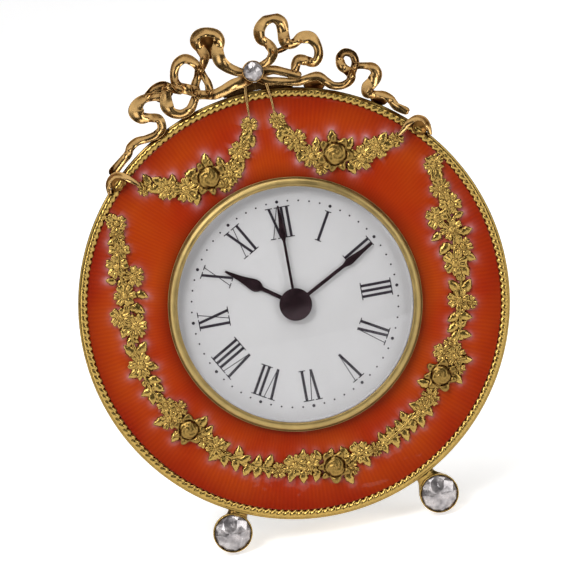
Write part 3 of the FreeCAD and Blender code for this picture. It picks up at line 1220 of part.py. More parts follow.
# Hinge bracket, pin and strut leg. The leg is drawn from the pin's axis, downwards.
derive("knuckle_side", "knuckle_width / 2")
derive("lug_inner", "knuckle_side + loose_gap")
derive("lug_outer", "lug_inner + lug_thickness")
bracket_plate = block("bracket_plate", "-bracket_width / 2", "bracket_width / 2",
                      "hinge_height - bracket_low", "hinge_height + bracket_high",
                      "back_face - bracket_sheet", "back_face")
lugs = []
for side, low, high in (("left", "-lug_outer", "-lug_inner"), ("right", "lug_inner", "lug_outer")):
    lugs.append(block(f"lug_{side}", low, high, "hinge_height - lug_radius", "hinge_height + lug_radius",
                      "hinge_depth", "back_face - bracket_sheet / 2"))
    lugs.append(cross_rod(f"lug_end_{side}", "lug_radius", low, high, "hinge_height", "hinge_depth"))
bracket_cuts = [cross_rod("bracket_pin_hole", "pin_radius", "-lug_outer - overrun", "lug_outer + overrun",
                          "hinge_height", "hinge_depth")]
bracket_cuts += [rod(f"bracket_screw_hole_{index}", "bracket_screw_radius + running_gap",
                     f"{side}bracket_screw_spread", "hinge_height", "back_face - bracket_sheet - overrun",
                     "back_face + overrun") for index, side in enumerate(("", "-"))]
stand(cut("hinge_bracket", fused("bracket_solid", [bracket_plate] + lugs), fused("bracket_cuts", bracket_cuts)),
      "hinge_bracket")
stand(grouped("hinge_pin", [cross_rod("hinge_pin_rod", "pin_radius", "-lug_outer", "lug_outer", "hinge_height",
                                      "hinge_depth")]), "hinge_pin")
bracket_screws = [screw(f"bracket_screw_{index}", f"{side}bracket_screw_spread", "hinge_height",
                        "bracket_screw_radius", "bracket_sheet + back_sheet", "bracket_screw_head_radius",
                        "bracket_screw_head_height", "back_face - bracket_sheet")
                  for index, side in enumerate(("", "-"))]
stand(grouped("bracket_screws", bracket_screws), "bracket_screws")

leg_sheet = padded("leg_sheet", [
    ("-knuckle_side", "heel_length"), ("-knuckle_side", "-leg_shoulder"),
    ("-leg_foot_width / 2", "foot_block_height / 2 - leg_length"),
    ("leg_foot_width / 2", "foot_block_height / 2 - leg_length"), ("knuckle_side", "-leg_shoulder"),
    ("knuckle_side", "heel_length")], "-leg_thickness / 2", "leg_thickness / 2")
knuckle = cross_rod("leg_knuckle", "knuckle_radius", "-knuckle_side", "knuckle_side", "0", "0")
foot_block = document.addObject("PartDesign::Body", "foot_block")
foot_pad = foot_block.newObject("PartDesign::Pad", "foot_block_pad")
foot_pad.Profile = sketch_on(foot_block, "YZ_Plane", [
    ("foot_block_height - leg_length", "-foot_block_thickness / 2"),
    ("foot_block_height - leg_length", "foot_block_thickness / 2"),
    ("foot_block_thickness / 2 * tan(stand_angle) - leg_length", "foot_block_thickness / 2"),
    ("0 - foot_block_thickness / 2 * tan(stand_angle) - leg_length", "-foot_block_thickness / 2")],
    "-leg_foot_width / 2")
foot_pad.setExpression("Length", bind("leg_foot_width"))
leg_hole = cross_rod("leg_hole", "pin_radius + running_gap", "-knuckle_side - overrun",
                     "knuckle_side + overrun", "0", "0")
stand(cut("strut_leg", fused("leg_solid", [leg_sheet, knuckle, foot_block]), leg_hole), "strut_leg",
      "0", "hinge_height", "hinge_depth", "90 - lean_angle + strut_angle")

# The clock stands with the middle of its depth over the origin
document.recompute()
whole = FreeCAD.BoundBox()
for piece in parts.values():
    whole.add(piece.Shape.optimalBoundingBox(False))
places.centring = -whole.Center.y
document.recompute()

# Every object has to be sound before anything is written
faults = [thing.Label for thing in document.Objects if {"Invalid", "Error"} & set(thing.State)]
faults += [name for name, piece in parts.items() if piece.Shape.isNull() or not piece.Shape.isValid()]
if faults:
    raise RuntimeError("unsound: " + ", ".join(faults))
os.makedirs("parts", exist_ok=True)
for name, piece in parts.items():
    piece.Shape.exportStep(f"parts/{name}.step")
print(len(parts), "sub-parts, rest height", round(places.rest_height, 3), "centring", round(places.centring, 3))
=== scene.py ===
"""Gilt and enamel pendulette clock: the visual pieces over the packed model."""
import json
import math

import bmesh
import bpy
from bpy.props import FloatProperty, FloatVectorProperty, IntProperty, PointerProperty
from mathutils import Matrix, Vector, kdtree, noise


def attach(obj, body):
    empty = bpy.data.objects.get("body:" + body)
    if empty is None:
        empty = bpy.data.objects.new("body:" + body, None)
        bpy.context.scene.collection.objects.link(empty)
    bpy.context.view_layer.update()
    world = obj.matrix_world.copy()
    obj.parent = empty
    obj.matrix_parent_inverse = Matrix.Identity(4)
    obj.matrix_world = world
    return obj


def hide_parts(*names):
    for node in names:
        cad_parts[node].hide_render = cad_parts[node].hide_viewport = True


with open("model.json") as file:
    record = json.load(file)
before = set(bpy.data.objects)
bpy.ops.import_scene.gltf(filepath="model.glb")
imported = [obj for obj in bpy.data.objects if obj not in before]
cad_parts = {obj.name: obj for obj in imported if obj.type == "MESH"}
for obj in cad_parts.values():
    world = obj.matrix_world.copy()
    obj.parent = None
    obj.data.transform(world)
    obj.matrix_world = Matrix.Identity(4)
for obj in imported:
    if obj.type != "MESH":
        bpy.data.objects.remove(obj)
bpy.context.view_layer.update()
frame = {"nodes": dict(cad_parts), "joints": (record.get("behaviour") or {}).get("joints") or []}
# A fixed seed, so that the chased surface is the same in every run
noise.seed_set(11)

bl_info = {
    "name": "Enamel pendulette clock",
    "version": (1, 0, 0),
    "blender": (4, 5, 0),
    "location": "3D View > Sidebar > Pendulette",
    "description": "Builds the visual pieces, finishes and stage of an enamel pendulette clock",
    "category": "Object",
}

# The middle of the dial and the lean of the face, from the axis of the seconds hand
face_lean = math.radians(80)
face_middle = Vector(next(j["pos_m"] for j in frame["joints"] if j["name"] == "seconds_spin"))
face_place = Matrix.Translation(face_middle) @ Matrix.Rotation(face_lean, 4, "X") @ Matrix.Scale(0.001, 4)
plate_radius = 50.0

# Tables drawn from the case, in thousandths of the plate radius. Points of a ribbon: x, y and width.
bow_shares = {
    "left": [
        [(-45, 1090, 35), (-80, 1105, 40), (-115, 1130, 45), (-140, 1165, 52), (-143, 1210, 50),
         (-128, 1250, 45), (-135, 1285, 36), (-180, 1303, 36), (-220, 1297, 36), (-236, 1268, 40),
         (-218, 1230, 40), (-205, 1195, 36), (-220, 1158, 32), (-240, 1135, 32)],
        [(-236, 1130, 32), (-255, 1172, 34), (-292, 1200, 36), (-332, 1188, 36), (-354, 1152, 34),
         (-360, 1110, 34), (-346, 1078, 40), (-312, 1062, 45), (-275, 1045, 45)],
        [(-240, 1150, 34), (-252, 1110, 34), (-272, 1072, 34), (-270, 1030, 34)],
        [(-236, 1140, 30), (-225, 1105, 30), (-212, 1070, 30), (-212, 1030, 34)],
        [(-50, 1052, 50), (-100, 1044, 48), (-150, 1026, 45), (-190, 1016, 42), (-235, 1022, 38),
         (-275, 1030, 38)],
        [(-270, 1035, 36), (-292, 1000, 36), (-315, 968, 36), (-358, 955, 36), (-398, 970, 40),
         (-416, 1005, 52), (-412, 1050, 45), (-400, 1085, 36)],
        [(-505, 1056, 30), (-460, 1090, 32), (-415, 1098, 34), (-375, 1075, 34), (-340, 1062, 36)],
        [(-430, 1050, 36), (-500, 1056, 34), (-542, 1038, 45), (-558, 1004, 62), (-540, 972, 48),
         (-500, 964, 36), (-462, 950, 34), (-458, 905, 34), (-490, 882, 34), (-535, 872, 34),
         (-580, 868, 34), (-614, 848, 34), (-632, 818, 34), (-660, 795, 36), (-712, 752, 40)],
    ],
    "right": [
        [(60, 1112, 34), (90, 1128, 34), (108, 1160, 36), (92, 1198, 38), (62, 1228, 42), (64, 1270, 45),
         (96, 1304, 40), (138, 1312, 38), (168, 1284, 45), (168, 1235, 48), (172, 1190, 45),
         (205, 1180, 36), (245, 1200, 45), (288, 1192, 46), (312, 1150, 34), (310, 1105, 34),
         (286, 1078, 34), (250, 1092, 40), (212, 1104, 36), (192, 1062, 36)],
        [(55, 1078, 40), (95, 1078, 36), (135, 1062, 36), (175, 1044, 36), (205, 1030, 36)],
        [(102, 1166, 22), (135, 1160, 22), (172, 1170, 22)],
        [(50, 1036, 36), (100, 1026, 32), (150, 1014, 32), (196, 1004, 34), (240, 1012, 34),
         (290, 1014, 34), (322, 984, 36), (352, 958, 32), (395, 952, 30), (434, 968, 30), (440, 1000, 34),
         (408, 1036, 38), (402, 1070, 34)],
        [(402, 1052, 34), (408, 1084, 32), (434, 1099, 30), (465, 1082, 28), (472, 1046, 28),
         (456, 1012, 30), (440, 985, 30)],
        [(462, 1030, 30), (510, 1022, 28), (548, 1008, 34), (558, 976, 42), (536, 945, 50), (508, 922, 50),
         (500, 894, 36), (540, 884, 30), (575, 874, 30), (602, 848, 34), (622, 812, 34), (662, 784, 34)],
    ],
}
# The ends of the ribbon that lie over the rim
rim_shares = {
    "left": [(-604, 669, 30), (-639, 699, 38), (-674, 727, 40), (-710, 735, 38), (-737, 716, 34),
         (-748, 688, 32), (-746, 655, 30)],
    "right": [(606, 680, 30), (634, 702, 34), (662, 728, 38), (700, 744, 38), (734, 732, 34),
         (749, 700, 32), (750, 655, 30)],
}
# Flowers and roses: x, y and radius. Leaves: x, y, length, and the direction of the tip in degrees.
# Stem: x and y along it.
relief_shares = {
    "swag_left": {
        "flowers": [(-61, 850, 34), (-124, 740, 44), (-187, 646, 45), (-215, 598, 30), (-401, 610, 50),
            (-484, 629, 45), (-587, 651, 30)],
        "roses": [(-287, 646, 62)],
        "leaves": [(-63, 774, 50, 270), (-86, 806, 50, 210), (-100, 784, 45, 240), (-133, 668, 50, 265),
            (-223, 706, 50, 100), (-359, 560, 50, 260), (-287, 728, 55, 90), (-362, 680, 55, 40),
            (-453, 666, 50, 80), (-520, 672, 55, 140), (-570, 690, 50, 110), (-540, 640, 55, 190)],
        "stem": [(-61, 850), (-90, 790), (-124, 740), (-160, 690), (-200, 640), (-287, 640), (-401, 612),
            (-484, 629), (-540, 642), (-600, 660)],
    },
    "swag_right": {
        "flowers": [(69, 850, 33), (137, 740, 45), (198, 657, 45), (232, 598, 30), (420, 610, 50),
            (503, 640, 45), (594, 663, 30)],
        "roses": [(306, 649, 64)],
        "leaves": [(73, 774, 50, 270), (96, 800, 50, 330), (105, 780, 45, 300), (145, 668, 50, 250),
            (230, 712, 50, 80), (371, 568, 50, 290), (306, 730, 55, 90), (377, 684, 55, 50),
            (460, 672, 50, 100), (536, 680, 55, 50), (555, 646, 55, 350)],
        "stem": [(69, 850), (100, 790), (137, 740), (170, 695), (215, 645), (306, 645), (420, 614),
            (503, 640), (555, 650), (606, 672)],
    },
    "garland_left": {
        "flowers": [(-742, 515, 40), (-748, 466, 30), (-752, 398, 42), (-777, 321, 45), (-708, 263, 42),
            (-765, 185, 45), (-806, 89, 40), (-745, 37, 50), (-752, -144, 50), (-674, -347, 35),
            (-617, -376, 35), (-669, -416, 40), (-526, -536, 35), (-480, -581, 42), (-214, -744, 32),
            (-137, -733, 45), (-69, -742, 42)],
        "roses": [(-589, -480, 55)],
        "leaves": [(-770, 440, 50, 200), (-816, 262, 40, 160), (-684, 172, 45, 330), (-714, 110, 55, 320),
            (-796, 20, 55, 240), (-790, -66, 55, 130), (-729, -66, 55, 50), (-700, -160, 50, 340),
            (-790, -180, 50, 200), (-700, -225, 50, 345), (-690, -262, 50, 320), (-748, -275, 50, 200),
            (-726, -306, 50, 265), (-716, -419, 50, 190), (-520, -455, 55, 40), (-655, -500, 50, 220),
            (-500, -500, 50, 40), (-440, -582, 50, 10), (-500, -622, 50, 210), (-454, -650, 50, 260),
            (-380, -626, 50, 80), (-358, -662, 50, 20), (-406, -680, 50, 260), (-360, -714, 50, 230),
            (-314, -732, 50, 240), (-300, -682, 50, 70), (-248, -690, 50, 60), (-263, -744, 45, 260),
            (-163, -784, 45, 240), (-106, -796, 50, 260), (-91, -692, 45, 80), (-45, -800, 50, 250),
            (-26, -706, 45, 110)],
        "stem": [(-792, 556), (-742, 515), (-750, 398), (-765, 290), (-760, 185), (-765, 60), (-768, -30),
            (-752, -144), (-738, -230), (-700, -310), (-650, -390), (-589, -480), (-510, -560),
            (-469, -612), (-400, -652), (-320, -704), (-214, -738), (-130, -740), (-60, -750)],
    },
    "garland_right": {
        "flowers": [(744, 515, 40), (756, 402, 42), (789, 327, 45), (715, 273, 45), (776, 205, 45),
            (811, 121, 40), (763, 53, 50), (750, -118, 45), (798, -142, 30), (630, -347, 38),
            (690, -376, 42), (690, -430, 30), (676, -315, 30), (539, -540, 38), (492, -581, 35),
            (173, -730, 45), (244, -730, 30), (121, -800, 28)],
        "roses": [(44, -775, 58), (604, -450, 58)],
        "leaves": [(760, 460, 55, 290), (821, 270, 40, 20), (698, 185, 45, 210), (840, 190, 50, 10),
            (724, 122, 55, 220), (838, 66, 50, 330), (804, 10, 55, 290), (737, -50, 55, 120),
            (800, -60, 55, 50), (708, -198, 50, 200), (698, -244, 50, 210), (769, -202, 50, 340),
            (700, -285, 50, 215), (752, -285, 50, 340), (735, -400, 50, 350), (520, -470, 55, 150),
            (680, -480, 50, 300), (462, -568, 50, 150), (520, -604, 50, 300), (478, -645, 50, 280),
            (436, -660, 50, 270), (401, -606, 50, 110), (372, -640, 50, 120), (396, -694, 50, 280),
            (346, -716, 50, 280), (325, -664, 50, 110), (284, -684, 50, 120), (290, -736, 45, 290),
            (196, -780, 45, 290), (98, -716, 50, 110), (104, -842, 50, 290), (36, -712, 45, 70)],
        "stem": [(60, -750), (121, -760), (173, -735), (244, -728), (300, -704), (344, -684), (407, -642),
            (459, -616), (500, -585), (550, -530), (604, -450), (650, -390), (696, -320), (738, -230),
            (752, -118), (779, -15), (765, 60), (782, 200), (770, 300), (756, 402), (744, 515), (792, 556)],
    },
}


def in_mm(row):
    """A row of a table with its lengths in millimetres; a fourth value, a direction, stays as it is."""
    return tuple(v / 1000 * plate_radius for v in row[:3]) + row[3:]


reliefs = {name: {part: [in_mm(row) for row in rows] for part, rows in parts.items()}
           for name, parts in relief_shares.items()}


def length_setting(label, note, value):
    """A length or a share in the settings."""
    return FloatProperty(name=label, description=note, default=value)


def colour_setting(label, note, value):
    """A colour in the settings."""
    return FloatVectorProperty(name=label, description=note, subtype="COLOR", default=value)


class ClockSizes(bpy.types.PropertyGroup):
    """Sizes that shape the visual pieces, in face millimetres"""
    rope_lobes: IntProperty(name="Rope lobes", description="Lobes in the rope border", default=198, min=60)
    rope_slant: length_setting("Rope slant", "Pitches that a lobe leans across the bead", 0.35)
    enamel_top: length_setting("Enamel top", "Height of the enamel, mm", 0.72)
    meniscus: length_setting("Meniscus", "Rise of the enamel at the relief, mm", 0.14)
    ribbon_back: length_setting("Ribbon back", "Back edge of the bow, mm", -1.3)
    ribbon_front: length_setting("Ribbon front", "Front edge of the bow, mm", 2.3)
    numeral_inner: length_setting("Numeral foot", "Radius of the numeral feet, mm", 15.5)
    numeral_outer: length_setting("Numeral head", "Radius of the numeral heads, mm", 22.75)
    dot_ring: length_setting("Dot ring", "Radius of the minute dots, mm", 23.95)
    garland_way: IntProperty(name="Garland way", default=1, min=-1, max=1,
                             description="Leaves point along (1) or against (-1) the stems")
    stone_facets: IntProperty(name="Stone facets", description="Facets round a stone", default=12, min=6)


class ClockColours(bpy.types.PropertyGroup):
    """Colours of the finishes"""
    gilt: colour_setting("Gilt", "Colour of the gilding", (0.40, 0.265, 0.072))
    gilt_pink: colour_setting("Rose gilt", "Colour of the bow", (0.44, 0.275, 0.105))
    # Colour that the gilt takes in its hollows: painted shade and patina
    gilt_deep: colour_setting("Gilt hollows", "Colour in the hollows", (0.10, 0.035, 0.008))
    enamel: colour_setting("Enamel", "Colour of the enamel", (0.385, 0.044, 0.0008))
    enamel_deep: colour_setting("Deep enamel", "Colour of the enamel where it is thick", (0.33, 0.020, 0.0))
    dial: colour_setting("Dial", "Colour of the dial", (0.635, 0.63, 0.635))
    hands: colour_setting("Hands", "Colour of the hands", (0.024, 0.010, 0.014))


def sizes():
    """The sizes the pieces are built from."""
    return bpy.context.scene.clock_sizes


def colours():
    """The colours the finishes are built from."""
    return bpy.context.scene.clock_colours


def mesh_from(bm, name):
    """Turns a bmesh into a mesh, and frees it."""
    mesh = bpy.data.meshes.new(name)
    bm.to_mesh(mesh)
    bm.free()
    return mesh


def shown(bm, name, material):
    """Turns a bmesh into an object of the scene."""
    mesh = mesh_from(bm, name)
    mesh.materials.append(material)
    piece = bpy.data.objects.new(name, mesh)
    bpy.context.scene.collection.objects.link(piece)
    return piece


def placed(bm, name, finish, nodes=(), body="case", smooth=True):
    """Sets a piece built in face millimetres in its place on the clock."""
    bmesh.ops.recalc_face_normals(bm, faces=bm.faces)
    bm.transform(face_place)
    for face in bm.faces:
        face.smooth = smooth
    piece = shown(bm, name, finishes[finish])
    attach(piece, body)
    if nodes:
        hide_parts(*nodes)


def circle(count):
    """Cosine and sine of directions spread evenly round a circle."""
    return [(math.cos(math.tau * k / count), math.sin(math.tau * k / count)) for k in range(count)]


def spun(bm, outline, steps, middle=(0, 0, 0), closed=True):
    """Turns an outline of radius and height pairs about an axis that points out of the face."""
    verts = [bmesh.ops.create_vert(bm, co=(middle[0] + r, middle[1], middle[2] + z))["vert"][0]
             for r, z in outline]
    pairs = list(zip(verts, verts[1:] + verts[:1] if closed else verts[1:]))
    edges = [bmesh.ops.contextual_create(bm, geom=pair)["edges"][0] for pair in pairs]
    bmesh.ops.spin(bm, geom=verts + edges, cent=middle, axis=(0, 0, 1), angle=math.tau, steps=steps,
                   use_merge=True)
    bmesh.ops.remove_doubles(bm, verts=bm.verts, dist=1e-5)


def swept(bm, rings):
    """Skins a run of rings, all of the same number of points, and closes both ends."""
    start = bmesh.ops.create_circle(bm, cap_ends=True, segments=len(rings[0]), radius=1)["verts"]
    cap = start[0].link_faces[0]
    for vert, place in zip(cap.verts, rings[0]):
        vert.co = place
    rim = list(cap.edges)
    for ring in rings[1:]:
        cap = bmesh.ops.extrude_discrete_faces(bm, faces=[cap])["faces"][0]
        for vert, place in zip(cap.verts, ring):
            vert.co = place
    bmesh.ops.holes_fill(bm, edges=[e for e in rim if e.is_valid], sides=0)


def smooth_line(points, per_span):
    """Points along a smooth line through the given ones; each may carry a width as well."""
    count = len(points)
    line = []
    for i in range(count - 1):
        p0, p1, p2, p3 = (Vector(points[max(0, min(count - 1, i + k))]) for k in (-1, 0, 1, 2))
        for k in range(per_span):
            t = k / per_span
            line.append(0.5 * (2 * p1 + (p2 - p0) * t + (2 * p0 - 5 * p1 + 4 * p2 - p3) * t * t
                               + (3 * p1 - p0 - 3 * p2 + p3) * t ** 3))
    line.append(Vector(points[-1]))
    return line


def side_at(line, i):
    """The direction to the left of a line at one of its points."""
    ahead = line[min(i + 1, len(line) - 1)] - line[max(i - 1, 0)]
    return Vector((-ahead.y, ahead.x)).normalized()


def stamped(bm, pattern, x, y, size, turn, lift=0.0):
    """Adds one copy of a pattern mesh at a spot on the face."""
    before = len(bm.verts)
    bm.from_mesh(pattern)
    bm.verts.ensure_lookup_table()
    fresh = bm.verts[before:]
    place = Matrix.Translation((x, y, lift)) @ Matrix.Rotation(turn, 4, "Z")
    for vert in fresh:
        vert.co = place @ Vector((vert.co.x * size, vert.co.y * size, vert.co.z))
    return fresh


def add_node(tree, kind, settings=None, **links):
    """Adds a node, its inputs linked or set by name, or by number as n0, n1 and so on."""
    fresh = tree.nodes.new(kind)
    for key, value in (settings or {}).items():
        setattr(fresh, key, value)
    for socket, value in links.items():
        by_number = socket[0] == "n" and socket[1:].isdigit()
        target = fresh.inputs[int(socket[1:]) if by_number else socket.replace("_", " ")]
        if isinstance(value, bpy.types.NodeSocket):
            tree.links.new(value, target)
        else:
            target.default_value = value
    return fresh


def principled(name, **values):
    """A new material and its shader, with some sockets of the shader set."""
    material = bpy.data.materials.new(name)
    material.use_nodes = True
    shader = material.node_tree.nodes["Principled BSDF"]
    for socket, value in values.items():
        shader.inputs[socket.replace("_", " ")].default_value = value
    return material, shader


class Finish:
    """One procedural material, with its nodes made by short calls."""

    def __init__(self, name, **values):
        self.material, self.shader = principled(name, **values)
        self.tree = self.material.node_tree
        coordinates = self.node("ShaderNodeTexCoord").outputs["Object"]
        to_face = self.node("ShaderNodeMapping", {"vector_type": "TEXTURE"}, Vector=coordinates,
                            Location=face_middle, Rotation=(face_lean, 0, 0), Scale=(0.001, 0.001, 0.001))
        self.place = to_face.outputs[0]

    def node(self, kind, settings=None, **links):
        """Adds a node to the material."""
        return add_node(self.tree, kind, settings, **links)

    def join(self, output, socket):
        """Links an output to a socket of the shader."""
        self.tree.links.new(output, self.shader.inputs[socket])

    def maths(self, operation, first, second=0.0, third=0.0, clamp=False):
        """One step of arithmetic."""
        step = self.node("ShaderNodeMath", {"operation": operation, "use_clamp": clamp},
                         n0=first, n1=second, n2=third)
        return step.outputs[0]

    def ramp(self, factor, *stops):
        """A colour ramp from stops of place and colour."""
        band = self.node("ShaderNodeValToRGB", Fac=factor)
        keys = band.color_ramp.elements
        while len(keys) < len(stops):
            keys.new(0.5)
        for key, (place, colour) in zip(keys, stops):
            key.position = place
            key.color = (*colour, 1)
        return band.outputs[0]

    def mixed(self, factor, first, second, blend="MIX"):
        """Two colours blended."""
        mixer = self.node("ShaderNodeMix", {"data_type": "RGBA", "blend_type": blend},
                          n0=factor, n6=first, n7=second)
        return mixer.outputs[2]

    def noise(self, scale, detail=3.0, stretch=None):
        """A noise value over the face, scale in waves per millimetre."""
        place = self.place
        if stretch:
            place = self.node("ShaderNodeMapping", Vector=place, Scale=stretch).outputs[0]
        return self.node("ShaderNodeTexNoise", Vector=place, Scale=scale, Detail=detail).outputs[0]

    def bump(self, height, strength, distance=0.0001):
        """Feeds a height to the shader's normal."""
        bump = self.node("ShaderNodeBump", Height=height, Strength=strength, Distance=distance)
        self.join(bump.outputs[0], "Normal")

    def polar(self):
        """Radius and angle about the middle of the dial, and the distance across it."""
        x, y, _ = self.node("ShaderNodeSeparateXYZ", Vector=self.place).outputs
        square = self.maths("ADD", self.maths("MULTIPLY", x, x), self.maths("MULTIPLY", y, y))
        return self.maths("SQRT", square), self.maths("ARCTAN2", y, x), x


def hollow_group():
    """Wear and dirt that gather in hollows: colour, roughness and height from occlusion and noise."""
    group = bpy.data.node_groups.new("Gilt wear", "ShaderNodeTree")
    for way, sockets in (("INPUT", "Light Color,Deep Color,Place Vector,Reach Float,Grain Float,Satin Float"),
                         ("OUTPUT", "Color Color,Roughness Float,Height Float")):
        for name, kind in (socket.split() for socket in sockets.split(",")):
            group.interface.new_socket(name=name, in_out=way, socket_type="NodeSocket" + kind)
    source = group.nodes.new("NodeGroupInput").outputs
    result = group.nodes.new("NodeGroupOutput").inputs
    # Painted shade: occlusion darkens the colour in hollows, where shade falls; it stands for patina as well
    shade = add_node(group, "ShaderNodeAmbientOcclusion", {"samples": 6}, Distance=source["Reach"])
    grain = add_node(group, "ShaderNodeTexNoise", Vector=source["Place"], Scale=source["Grain"],
                     Detail=4).outputs[0]
    open_share = add_node(group, "ShaderNodeMapRange", Value=shade.outputs["AO"], From_Min=0.40,
                          From_Max=0.92).outputs[0]
    mix = add_node(group, "ShaderNodeMix", {"data_type": "RGBA"}, n0=open_share, n6=source["Deep"],
                   n7=source["Light"])
    spread = add_node(group, "ShaderNodeMapRange", Value=grain, From_Min=0.3, From_Max=0.7, To_Min=0.80,
                      To_Max=1.12)
    tone = add_node(group, "ShaderNodeVectorMath", {"operation": "SCALE"}, n0=mix.outputs[2],
                    Scale=spread.outputs[0])
    rough = add_node(group, "ShaderNodeMath", {"operation": "MULTIPLY_ADD"}, n0=grain, n1=0.22,
                     n2=source["Satin"])
    for name, output in (("Color", tone.outputs[0]), ("Roughness", rough.outputs[0]), ("Height", grain)):
        group.links.new(output, result[name])
    return group


def gilt(name, light, deep, satin, reach, grain, relief, patina_and_shade):
    """A gilded finish with dark hollows."""
    finish = Finish(name, Metallic=1.0)
    patina_shade = finish.node("ShaderNodeGroup", {"node_tree": patina_and_shade}, Light=(*light, 1), Deep=(*deep, 1),
                       Reach=reach, Grain=grain, Satin=satin, Place=finish.place).outputs
    finish.join(patina_shade["Color"], "Base Color")
    finish.join(patina_shade["Roughness"], "Roughness")
    finish.bump(patina_shade["Height"], relief, 0.0002)
    return finish.material


def plain_finish(name, colour, rough, metallic=0.0, grain=2.0, spread=0.12, relief=0.1, stretch=None,
                 coat=0.0):
    """A plastic, rubber or worked metal with a grain in colour, gloss and surface."""
    finish = Finish(name, Metallic=metallic, Coat_Weight=coat)
    value = finish.noise(grain, 4.0, stretch)
    low = tuple(c * (1 - spread) for c in colour)
    high = tuple(min(1, c * (1 + spread)) for c in colour)
    finish.join(finish.ramp(value, (0.3, low), (0.7, high)), "Base Color")
    finish.join(finish.maths("MULTIPLY_ADD", value, 0.2, max(0.03, rough - 0.1)), "Roughness")
    finish.bump(value, relief)
    return finish.material


def enamel_finish():
    """Translucent red enamel over engine-turned rays, lilac where it climbs the relief."""
    tint = colours()
    rays_round, clear, highlight_lilac = 300.0, (1, 1, 1), (0.58, 0.27, 0.28, 1)
    finish = Finish("Red enamel", Coat_Weight=0.35, Coat_Roughness=0.04, Roughness=0.4,
                    Specular_IOR_Level=0.1)
    maths = finish.maths
    radius, angle, _ = finish.polar()
    waver = maths("MULTIPLY", finish.noise(0.25, 2.0), 0.012)
    rays = maths("SINE", maths("MULTIPLY", maths("ADD", angle, waver), rays_round))
    patch = maths("MULTIPLY", finish.noise(0.7, 2.0), maths("DIVIDE", radius, 48.0))
    hatch = maths("MULTIPLY_ADD", maths("MULTIPLY", rays, patch), 0.9, 0.5)
    body = finish.ramp(finish.noise(0.055, 2.0), (0.35, tint.enamel_deep), (0.62, tint.enamel))
    # Painted shade: the enamel is darkened towards the bezel and, pinker, towards the rope border, where the
    # borders shade it
    edge = finish.ramp(maths("DIVIDE", radius, plate_radius), (0.56, (0.55, 0.5, 0.5)), (0.66, clear),
                       (0.86, clear), (0.955, (0.72, 0.48, 0.40)))
    deep = finish.mixed(1.0, body, edge, "MULTIPLY")
    lines = finish.ramp(hatch, (0.2, (0.90, 0.86, 0.86)), (0.85, (1.08, 1.12, 1.1)))
    struck = finish.mixed(0.6, deep, lines, "MULTIPLY")
    # Painted highlight: lilac mixed into the colour by the mask next to the relief, as the light that the
    # risen enamel reflects
    halo_highlight = finish.node("ShaderNodeAttribute", {"attribute_name": "halo_highlight"}).outputs["Fac"]
    glow = maths("MULTIPLY", halo_highlight, maths("MULTIPLY", finish.noise(0.9, 3.0), 2.2), clamp=True)
    finish.join(finish.mixed(glow, struck, highlight_lilac), "Base Color")
    finish.bump(maths("ADD", maths("MULTIPLY", hatch, 0.25), finish.noise(0.35, 2.0)), 0.10, 0.0006)
    return finish.material


def glass_finish():
    """A clear watch glass, shown by its reflections."""
    finish = Finish("Watch glass", Base_Color=(0.95, 0.96, 1, 1), Metallic=1.0, Roughness=0.03)
    facing = finish.node("ShaderNodeLayerWeight", Blend=0.22).outputs["Facing"]
    finish.join(finish.maths("MULTIPLY_ADD", facing, 0.45, 0.004), "Alpha")
    return finish.material


def stone_finish():
    """A foiled stone: silver and lilac facets under a clear coat."""
    finish = Finish("Foiled stone", Metallic=0.6, Coat_Weight=0.7, Coat_Roughness=0.03)
    value = finish.noise(0.55, 2.0)
    finish.join(finish.ramp(value, (0.35, (0.19, 0.175, 0.18)), (0.62, (0.46, 0.43, 0.43))), "Base Color")
    finish.join(finish.ramp(value, (0.3, (0.14, 0.14, 0.14)), (0.7, (0.30, 0.30, 0.30))), "Roughness")
    return finish.material


def dial_finish():
    """A light grey dial with a soft sheen."""
    tint = colours()
    finish = Finish("Dial white", Roughness=0.55, Specular_IOR_Level=0.25)
    radius, _, _ = finish.polar()
    # Painted shade: the ramp darkens the dial towards its edge under the bezel, with a random tone from noise
    tone = finish.maths("ADD", finish.maths("MULTIPLY", radius, 0.012), finish.noise(0.06, 2.0))
    edge_shade = tuple(c * 0.92 for c in tint.dial)
    finish.join(finish.ramp(tone, (0.45, tint.dial), (0.95, edge_shade)), "Base Color")
    finish.bump(finish.noise(3.0, 3.0), 0.04)
    return finish.material


def winding_finish():
    """Turns of fine copper wire side by side."""
    turns_per_mm = 55.0
    finish = Finish("Copper wire", Metallic=1.0, Roughness=0.3)
    turns = finish.maths("SINE", finish.maths("MULTIPLY", finish.polar()[2], turns_per_mm))
    finish.join(finish.ramp(turns, (0.1, (0.22, 0.06, 0.02)), (0.9, (0.75, 0.32, 0.14))), "Base Color")
    finish.bump(turns, 0.5)
    return finish.material


finishes = {}


